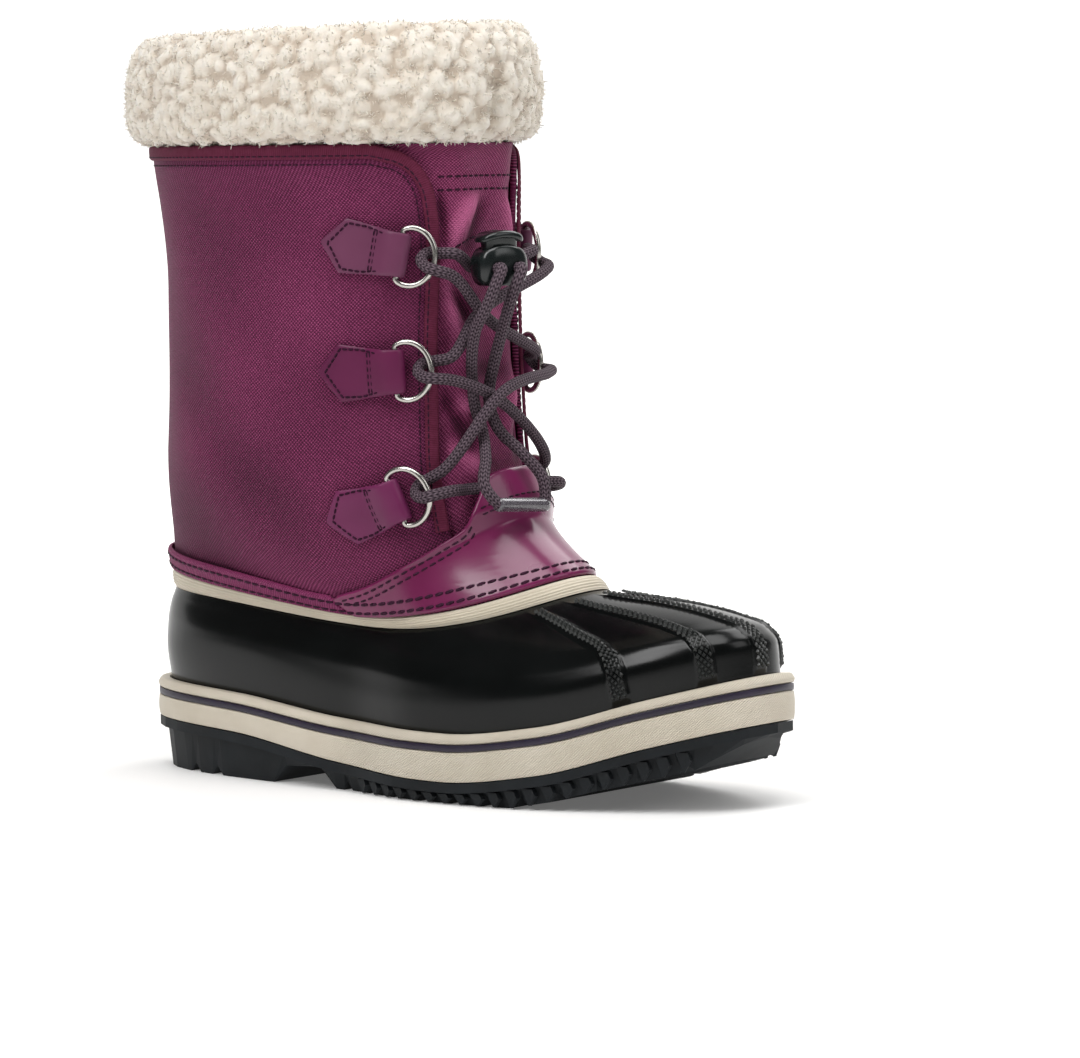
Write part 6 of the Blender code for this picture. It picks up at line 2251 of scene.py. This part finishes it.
@dataclass(frozen=True)
class Lock:
    """The spring lock and its button."""

    looks: Finishes
    sizes: LaceSizes = LaceSizes()

    def loop(
        self,
        width: float,
        depth: float,
        up: float,
        sides: int = 56,
        roundness: float = 3.2,
        arch: float = 0.0,
    ) -> Array:
        """A rounded rectangle at one height of the lock, arched over its width."""
        size = self.sizes
        along, across = Last.oval(np.arange(sides) / sides, np.array(roundness))
        drop = arch * (across * width / size.lock_width) ** 2
        return np.array([
            size.lock_point(c * width / 2, a * depth / 2, up - d) for a, c, d in zip(along, across, drop)
        ])

    def stack(self, name: str, loops: Sequence[Array]) -> Object:
        """A closed body through loops, the first and last of them filled."""
        rows, cols = len(loops), len(loops[0])
        points = np.concatenate(loops)
        r, c = cells(rows - 1, cols)
        faces = np.stack([a * cols + b % cols for a, b in corners(r, c)], axis=1).tolist()
        faces.append(list(range(cols))[::-1])
        faces.append(list(range((rows - 1) * cols, rows * cols)))
        mesh = bpy.data.meshes.new(name)
        mesh.from_pydata(points.tolist(), [], faces)
        mesh.update()
        mesh.materials.append(self.looks.plastic)
        return add_object(name, mesh)

    def cut(self, body: Object, tool: Object) -> None:
        """Take a tool's volume out of the body."""
        change = body.modifiers.new("cut", "BOOLEAN")
        change.operation = "DIFFERENCE"
        change.solver = "EXACT"
        change.object = tool
        graph = bpy.context.evaluated_depsgraph_get()
        graph.update()
        mesh = bpy.data.meshes.new_from_object(body.evaluated_get(graph), depsgraph=graph)
        body.modifiers.clear()
        body.data = mesh
        bpy.data.objects.remove(tool)

    def build(self) -> None:
        """Make the body with its holes and well, and the button."""
        size = self.sizes
        top = size.lock_height
        loops = [
            self.loop(size.lock_width * share, size.lock_depth * share, top * up, arch=size.lock_arch * up**2)
            for up, share in size.lock_levels
        ]
        body = self.stack("lock_body", loops)
        width, depth, sink = size.well
        loops = [self.loop(width, depth, up, 32, 4.0) for up in (top - sink, top + MM)]
        self.cut(body, self.stack("well", loops))
        for side in (1, -1):
            self.cut(body, self.stack("bore", self.bore_rings(side)))
        Piece.crisp(body, 32.0)
        Piece.place(body, "boot", "lock_plastic", ["cord_lock"])
        self.build_button()

    def bore_rings(self, side: int) -> list[Array]:
        """The two ends of a rod right through the lock, where one hole goes."""
        size = self.sizes
        middle, radius = side * size.bore_spacing / 2, size.bore / 2
        turns = TAU * np.arange(24) / 24
        rings = []
        for ahead in (-size.lock_depth, size.lock_depth):
            rings.append(np.array([
                size.lock_point(
                    middle + radius * math.cos(turn), ahead, size.bore_height + radius * math.sin(turn)
                )
                for turn in turns
            ]))
        return rings

    def build_button(self) -> None:
        """The button: a stem in the well and a rounded cap with a groove round it."""
        size = self.sizes
        top = size.lock_height + size.button_gap
        stem_width, stem_depth = size.well[0] - 0.8 * MM, size.well[1] - 0.8 * MM
        width, depth = size.button
        cap = size.button_cap
        rows = [
            (-size.button_gap - size.button_dip, stem_width * 0.92, stem_depth * 0.92),
            (-size.button_gap - size.button_dip + 0.4 * MM, stem_width, stem_depth),
            (-0.6 * MM, stem_width, stem_depth),
            (-0.3 * MM, stem_width * 1.02, stem_depth * 1.02),
            (0.0, width * 0.93, depth * 0.93),
            (0.25 * MM, width * 0.98, depth * 0.98),
            (0.7 * MM, width, depth),
            (cap * 0.55, width * 0.995, depth * 0.99),
            (cap * 0.75, width * 0.965, depth * 0.95),
            (cap * 0.9, width * 0.90, depth * 0.86),
            (cap * 0.98, width * 0.78, depth * 0.70),
            (cap, width * 0.5, depth * 0.4),
        ]
        loops = [self.loop(w, d, top + up, arch=size.lock_arch if up >= 0 else 0.0) for up, w, d in rows]
        button = self.stack("lock_push", loops)
        Piece.crisp(button, 40.0)
        Piece.place(button, "button", "lock_plastic", ["lock_button"])


@dataclass(frozen=True)
class WarmSizes:
    """Sizes of the felt liner and its fleece cuff."""

    gap: float = 0.3 * MM
    shell_wall: float = 3.0 * MM
    leg_wall: float = 2.2 * MM
    liner_wall: float = 4.0 * MM
    liner_gap: float = 2.6 * MM
    tongue_set: float = 3.2 * MM
    tongue_wall: float = 1.6 * MM
    cuff_out: float = 8.5 * MM
    cuff_in: float = 11.5 * MM
    cuff_height: float = 40.0 * MM
    profile: tuple = (
        (0.10, 0.000),
        (0.72, 0.070),
        (0.98, 0.280),
        (0.98, 0.560),
        (0.72, 0.820),
        (0.10, 0.980),
        (-0.45, 0.980),
        (-0.85, 0.820),
        (-1.00, 0.520),
        (-1.00, 0.200),
        (-0.80, 0.000),
    )
    lump_scale: float = 215.0
    lump_depth: float = 1.8 * MM
    locks_per_area: float = 330000.0
    lock_length: float = 2.3 * MM
    seed: int = 5


@dataclass(frozen=True)
class InnerBoot:
    """The felt liner and its deep fleece cuff."""

    looks: Finishes
    sizes: WarmSizes = WarmSizes()

    def build(self) -> None:
        """Make the liner and the cuff."""
        self.build_liner()
        self.build_cuff()

    def build_liner(self) -> None:
        """The felt inner boot, closed underneath."""
        size = self.sizes
        turns = np.arange(120) / 120
        foot = size.shell_wall + size.liner_gap
        leg = max(size.leg_wall, size.tongue_set) + size.tongue_wall + size.liner_gap
        levels = [(level, foot) for level in np.linspace(0.12, 0.8, 8)]
        levels += [(level, leg) for level in np.linspace(0.97, 1.99, 20)]
        loops = [LAST.sole_ring(turns, np.full(120, -foot), size.gap)]
        loops += [LAST.skin(turns, level, -depth) for level, depth in levels]
        loops += [LAST.skin(turns, level, -depth - size.liner_wall) for level, depth in reversed(levels)]
        loops.append(LAST.sole_ring(turns, np.full(120, -foot - size.liner_wall), size.gap + size.liner_wall))
        narrow = np.array([1.0, 0.02, 1.0])
        grid = np.array([loops[0] * narrow, *loops, loops[-1] * narrow])
        liner = MeshKit.hoop("felt_liner", grid, self.looks.felt)
        Piece.place(liner, "boot", "felt", ["liner"])

    def cuff_grid(self) -> Array:
        """Points of the cuff before its curls."""
        size = self.sizes
        turns = np.arange(430) / 430
        base = LAST.surface(turns, 2.0)
        side_out = LAST.outward(turns, np.full(len(turns), 2.0))
        side_out[:, 2] = 0.0
        side_out = unit(side_out)
        seam = np.exp(-((((turns - 0.012 + 0.5) % 1.0) - 0.5) / 0.0075) ** 2)
        lean = 1.0 + 0.10 * (np.cos(TAU * turns) - 1) / 2
        shares = np.array(size.profile)
        thick = np.where(shares[:, 0] > 0, size.cuff_out, size.cuff_in)
        route = np.column_stack([shares[:, 0] * thick, shares[:, 1] * size.cuff_height, 0 * thick])
        dense = curve_points(route, 0.8 * MM, closed=True)
        grid = []
        for out, height, _ in dense:
            lower = 1 - smooth_step(0.35, 0.65, height / size.cuff_height)
            outer = float(smooth_step(0, 4 * MM, out) * lower)
            points = base + side_out * (out - seam * 5.0 * MM * outer)[:, None]
            low = LAST.leg_height + 2 * size.gap
            points[:, 2] = low + np.maximum(height, 0.0) * lean
            grid.append(points)
        return np.array(grid)

    def lump_tree(self) -> NodeTree:
        """The tree that pushes the cuff's surface out into curls and stores how deep each point lies, for the
        pile's painted shade.
        """
        sockets = [("Scale", "NodeSocketFloat"), ("Depth", "NodeSocketFloat")]
        tree, start, end = NodeKit.tree("fleece_lumps", sockets)
        add = partial(NodeKit.node, tree)
        at = add("GeometryNodeInputPosition", {}).outputs[0]
        warp = add("ShaderNodeTexNoise", {"Vector": at, "Scale": 130.0, "Detail": 2.0}).outputs["Color"]
        inputs = {0: warp, 1: (0.5, 0.5, 0.5)}
        bent = add("ShaderNodeVectorMath", inputs, operation="SUBTRACT").outputs[0]
        bent = add("ShaderNodeVectorMath", {0: bent, "Scale": 0.0045}, operation="SCALE").outputs[0]
        bent = add("ShaderNodeVectorMath", {0: at, 1: bent}, operation="ADD").outputs[0]
        inputs = {"Vector": bent, "Scale": start.outputs["Scale"], "Smoothness": 0.18}
        lump = add("ShaderNodeTexVoronoi", inputs, feature="SMOOTH_F1").outputs[0]
        fine = add("ShaderNodeTexVoronoi", {"Vector": bent, "Scale": 520.0}, feature="F1").outputs[0]
        round_top = add("ShaderNodeMath", {0: lump, 1: lump}, operation="MULTIPLY").outputs[0]
        inputs = {0: round_top, 1: -1.75, 2: 1.08}
        high = add("ShaderNodeMath", inputs, operation="MULTIPLY_ADD").outputs[0]
        inputs = {0: fine, 1: -0.22, 2: high}
        high = add("ShaderNodeMath", inputs, operation="MULTIPLY_ADD").outputs[0]
        high = add("ShaderNodeClamp", {"Value": high}).outputs[0]
        lift = add("ShaderNodeMath", {0: high, 1: 0.45}, operation="SUBTRACT").outputs[0]
        inputs = {0: lift, 1: start.outputs["Depth"]}
        lift = add("ShaderNodeMath", inputs, operation="MULTIPLY").outputs[0]
        normal = add("GeometryNodeInputNormal", {}).outputs[0]
        move = add("ShaderNodeVectorMath", {0: normal, "Scale": lift}, operation="SCALE").outputs[0]
        inputs = {"Geometry": start.outputs["Geometry"], "Offset": move}
        moved = add("GeometryNodeSetPosition", inputs).outputs[0]
        kept = self.keep_shade_depth(tree, moved, high, "POINT")
        tree.links.new(kept, end.inputs[0])
        return tree

    @staticmethod
    def keep_shade_depth(tree: NodeTree, geometry: Socket, value: Socket, domain: str) -> Socket:
        """Store a value as the depth that the pile's finish reads for its painted shade."""
        inputs = {"Geometry": geometry, "Name": Pile.attribute, "Value": value}
        kind = "GeometryNodeStoreNamedAttribute"
        return NodeKit.node(tree, kind, inputs, data_type="FLOAT", domain=domain).outputs[0]

    def lock_tree(self) -> NodeTree:
        """The tree that sets small curled locks all over the cuff."""
        sockets = [
            ("Template", "NodeSocketObject"),
            ("Finish", "NodeSocketMaterial"),
            ("Density", "NodeSocketFloat"),
            ("Length", "NodeSocketFloat"),
            ("Seed", "NodeSocketInt"),
        ]
        tree, start, end = NodeKit.tree("fleece_locks", sockets)
        add = partial(NodeKit.node, tree)
        given = start.outputs
        inputs = {"Mesh": given["Geometry"], "Density": given["Density"], "Seed": given["Seed"]}
        cloud = add("GeometryNodeDistributePointsOnFaces", inputs, distribute_method="RANDOM")
        inputs = {0: (-0.75, -0.75, 0.0), 1: (0.75, 0.75, TAU), "Seed": 3}
        spin = add("FunctionNodeRandomValue", inputs, data_type="FLOAT_VECTOR").outputs[0]
        turn = add("FunctionNodeEulerToRotation", {0: spin}).outputs[0]
        inputs = {0: cloud.outputs["Rotation"], 1: turn}
        turned = add("FunctionNodeRotateRotation", inputs, rotation_space="LOCAL").outputs[0]
        share = add("FunctionNodeRandomValue", {2: 0.6, 3: 1.25, "Seed": 8}, data_type="FLOAT").outputs[1]
        size = add("ShaderNodeMath", {0: share, 1: given["Length"]}, operation="MULTIPLY").outputs[0]
        info = add("GeometryNodeObjectInfo", {0: given["Template"]})
        inputs = {
            "Points": cloud.outputs["Points"],
            "Instance": info.outputs["Geometry"],
            "Rotation": turned,
            "Scale": size,
        }
        copies = add("GeometryNodeInstanceOnPoints", inputs).outputs[0]
        # Painted light: the locks get a raised depth, so the finish paints them paler than the cuff's
        # hollows.
        inputs = {"Name": Pile.attribute}
        depth = add("GeometryNodeInputNamedAttribute", inputs, data_type="FLOAT").outputs[0]
        inputs = {0: depth, 1: 0.50, 2: 0.50}
        locks_painted_paler = add("ShaderNodeMath", inputs, operation="MULTIPLY_ADD").outputs[0]
        kept = self.keep_shade_depth(tree, copies, locks_painted_paler, "INSTANCE")
        real = add("GeometryNodeRealizeInstances", {0: kept}).outputs[0]
        inputs = {"Geometry": real, "Material": given["Finish"]}
        dressed = add("GeometryNodeSetMaterial", inputs).outputs[0]
        tree.links.new(dressed, end.inputs[0])
        return tree

    def build_cuff(self) -> None:
        """The fleece collar with its lumps and curled locks."""
        size = self.sizes
        cuff = MeshKit.hoop("fleece_cuff", self.cuff_grid(), self.looks.pile)
        NodeKit.bake(cuff, self.lump_tree(), {"Scale": size.lump_scale, "Depth": size.lump_depth})
        locks = cuff.copy()
        locks.data = cuff.data.copy()
        locks.name = "fleece_locks"
        locks.data.name = "fleece_locks"
        bpy.context.scene.collection.objects.link(locks)
        template = Templates.curl()
        values = {
            "Template": template,
            "Finish": self.looks.pile,
            "Density": size.locks_per_area,
            "Length": size.lock_length,
            "Seed": size.seed,
        }
        NodeKit.bake(locks, self.lock_tree(), values)
        bpy.data.objects.remove(template)
        for piece in (cuff, locks):
            Piece.smooth(piece)
        Piece.place(cuff, "boot", "fleece", ["cuff"])
        Piece.place(locks, "boot", "fleece")


@dataclass(frozen=True)
class ShotSizes:
    """Where the camera and the lights stand."""

    azimuth: float = 37.328
    elevation: float = 4.488
    distance: float = 1.7174
    lens: float = 170.4
    sensor: float = 36.0
    roll: float = -0.737
    target: tuple = (0.1238, 0.0, 0.0883)
    lamps: tuple = (
        # name, direction as azimuth and elevation, distance, width, height, power
        ("fill", 0.0, 45.0, 1.5, 0.42, 0.90, 10.5),
        ("back", 168.0, 52.0, 1.6, 1.0, 0.8, 10.0),
        ("front", 95.0, 32.0, 1.6, 0.7, 0.9, 4.0),
        ("top", 46.0, 72.0, 1.5, 0.9, 0.9, 13.0),
    )
    world: float = 0.10
    floor_glow: float = 0.85
    near_glow: float = 0.12
    glow_reach: tuple = (0.20, 1.10)


@dataclass(frozen=True)
class Studio:
    """A pale floor, soft lights and the photo's camera."""

    sizes: ShotSizes = ShotSizes()

    @staticmethod
    def direction(azimuth: float, elevation: float) -> Vector:
        """From the object towards a light or the camera."""
        az, el = math.radians(azimuth), math.radians(elevation)
        return Vector((math.sin(az) * math.cos(el), -math.cos(az) * math.cos(el), math.sin(el)))

    def build_camera(self) -> None:
        """The photo's view."""
        size = self.sizes
        back = self.direction(size.azimuth, size.elevation)
        side = Vector((0, 0, 1)).cross(back).normalized()
        up = back.cross(side)
        roll = math.radians(size.roll)
        right = side * math.cos(roll) + up * math.sin(roll)
        upward = up * math.cos(roll) - side * math.sin(roll)
        data = bpy.data.cameras.new("camera")
        data.lens = size.lens
        data.sensor_width = size.sensor
        data.clip_end = 30.0
        camera = add_object("camera", data)
        place = Vector(size.target) + back * size.distance
        matrix = camera.matrix_world.copy()
        for column, axis in enumerate((right, upward, back, place)):
            for row in range(3):
                matrix[row][column] = axis[row]
        camera.matrix_world = matrix
        bpy.context.scene.camera = camera

    def build_lights(self) -> None:
        """Large soft lamps round the boot and an even pale world."""
        size = self.sizes
        for name, azimuth, elevation, distance, width, height, power in size.lamps:
            data = bpy.data.lights.new(name, "AREA")
            data.shape = "RECTANGLE"
            data.size, data.size_y, data.energy = width, height, power
            lamp = add_object(name, data)
            toward = self.direction(azimuth, elevation)
            lamp.location = Vector((0.09, 0, 0.12)) + toward * distance
            lamp.rotation_euler = toward.to_track_quat("Z", "Y").to_euler()
        world = bpy.data.worlds.new("studio")
        world.use_nodes = True
        shade = world.node_tree.nodes["Background"]
        shade.inputs["Color"].default_value = (1.0, 0.995, 0.985, 1.0)
        shade.inputs["Strength"].default_value = size.world
        bpy.context.scene.world = world
        view = bpy.context.scene.view_settings
        view.view_transform = "Standard"
        view.look = "None"

    def build_floor(self) -> None:
        """A wide pale floor that curves up far behind the boot and glows there."""
        size = self.sizes
        back = -self.direction(size.azimuth, 0.0)
        paint = Paint("floor", (0.93, 0.925, 0.915), 0.6)
        stops = [(0.3, (0.92, 0.915, 0.905)), (0.7, (0.94, 0.935, 0.925))]
        look = paint.finish(paint.ramp(paint.noise(6.0, 2.0), stops))
        paint.set("Emission Color", (1.0, 0.995, 0.985, 1.0))
        paint.set("Specular IOR Level", 0.1)
        inputs = {0: paint.place(), 1: tuple(back)}
        away = paint.node("ShaderNodeVectorMath", inputs, operation="DOT_PRODUCT").outputs["Value"]
        near, far = size.glow_reach
        spread = paint.math("DIVIDE", paint.math("SUBTRACT", away, near), far - near, clamp=True)
        glow = paint.math("MULTIPLY_ADD", spread, size.floor_glow - size.near_glow, size.near_glow)
        paint.tree.links.new(glow, paint.shader.inputs["Emission Strength"])
        across = np.linspace(-6, 6, 21)
        sweep = [(-8.0, 0.0), (2.2, 0.0), (3.0, 0.12), (3.5, 0.6), (3.8, 1.6), (3.9, 5.0)]
        side = Vector((0, 0, 1)).cross(back)
        grid = np.array([
            [tuple(back * a + side * b + Vector((0, 0, h))) for b in across] for a, h in sweep
        ])
        rows, cols = grid.shape[:2]
        r, c = cells(rows - 1, cols - 1)
        faces = np.stack([a * cols + b for a, b in corners(r, c)], axis=1)
        MeshKit.add("floor", grid, faces, None, look)

    def build(self) -> None:
        """Set the whole stage."""
        self.build_camera()
        self.build_lights()
        self.build_floor()


def main() -> None:
    """Build everything in the order camera, cords, then the rest."""
    logging.basicConfig(level=logging.INFO, format="%(message)s")
    Studio().build()
    looks = Finishes()
    hardware = HardwareSizes()
    Lace(looks, hardware).build()
    Lock(looks).build()
    sewing = Sewing(looks)
    Sole(looks, sewing.scatter).build()
    Shell(looks, sewing.scatter).build()
    Rand(looks).build()
    Upper(looks, sewing).build()
    Hardware(looks, sewing, hardware).build()
    InnerBoot(looks).build()
    bpy.data.objects.remove(sewing.stitch)


if __name__ == "__main__":
    main()
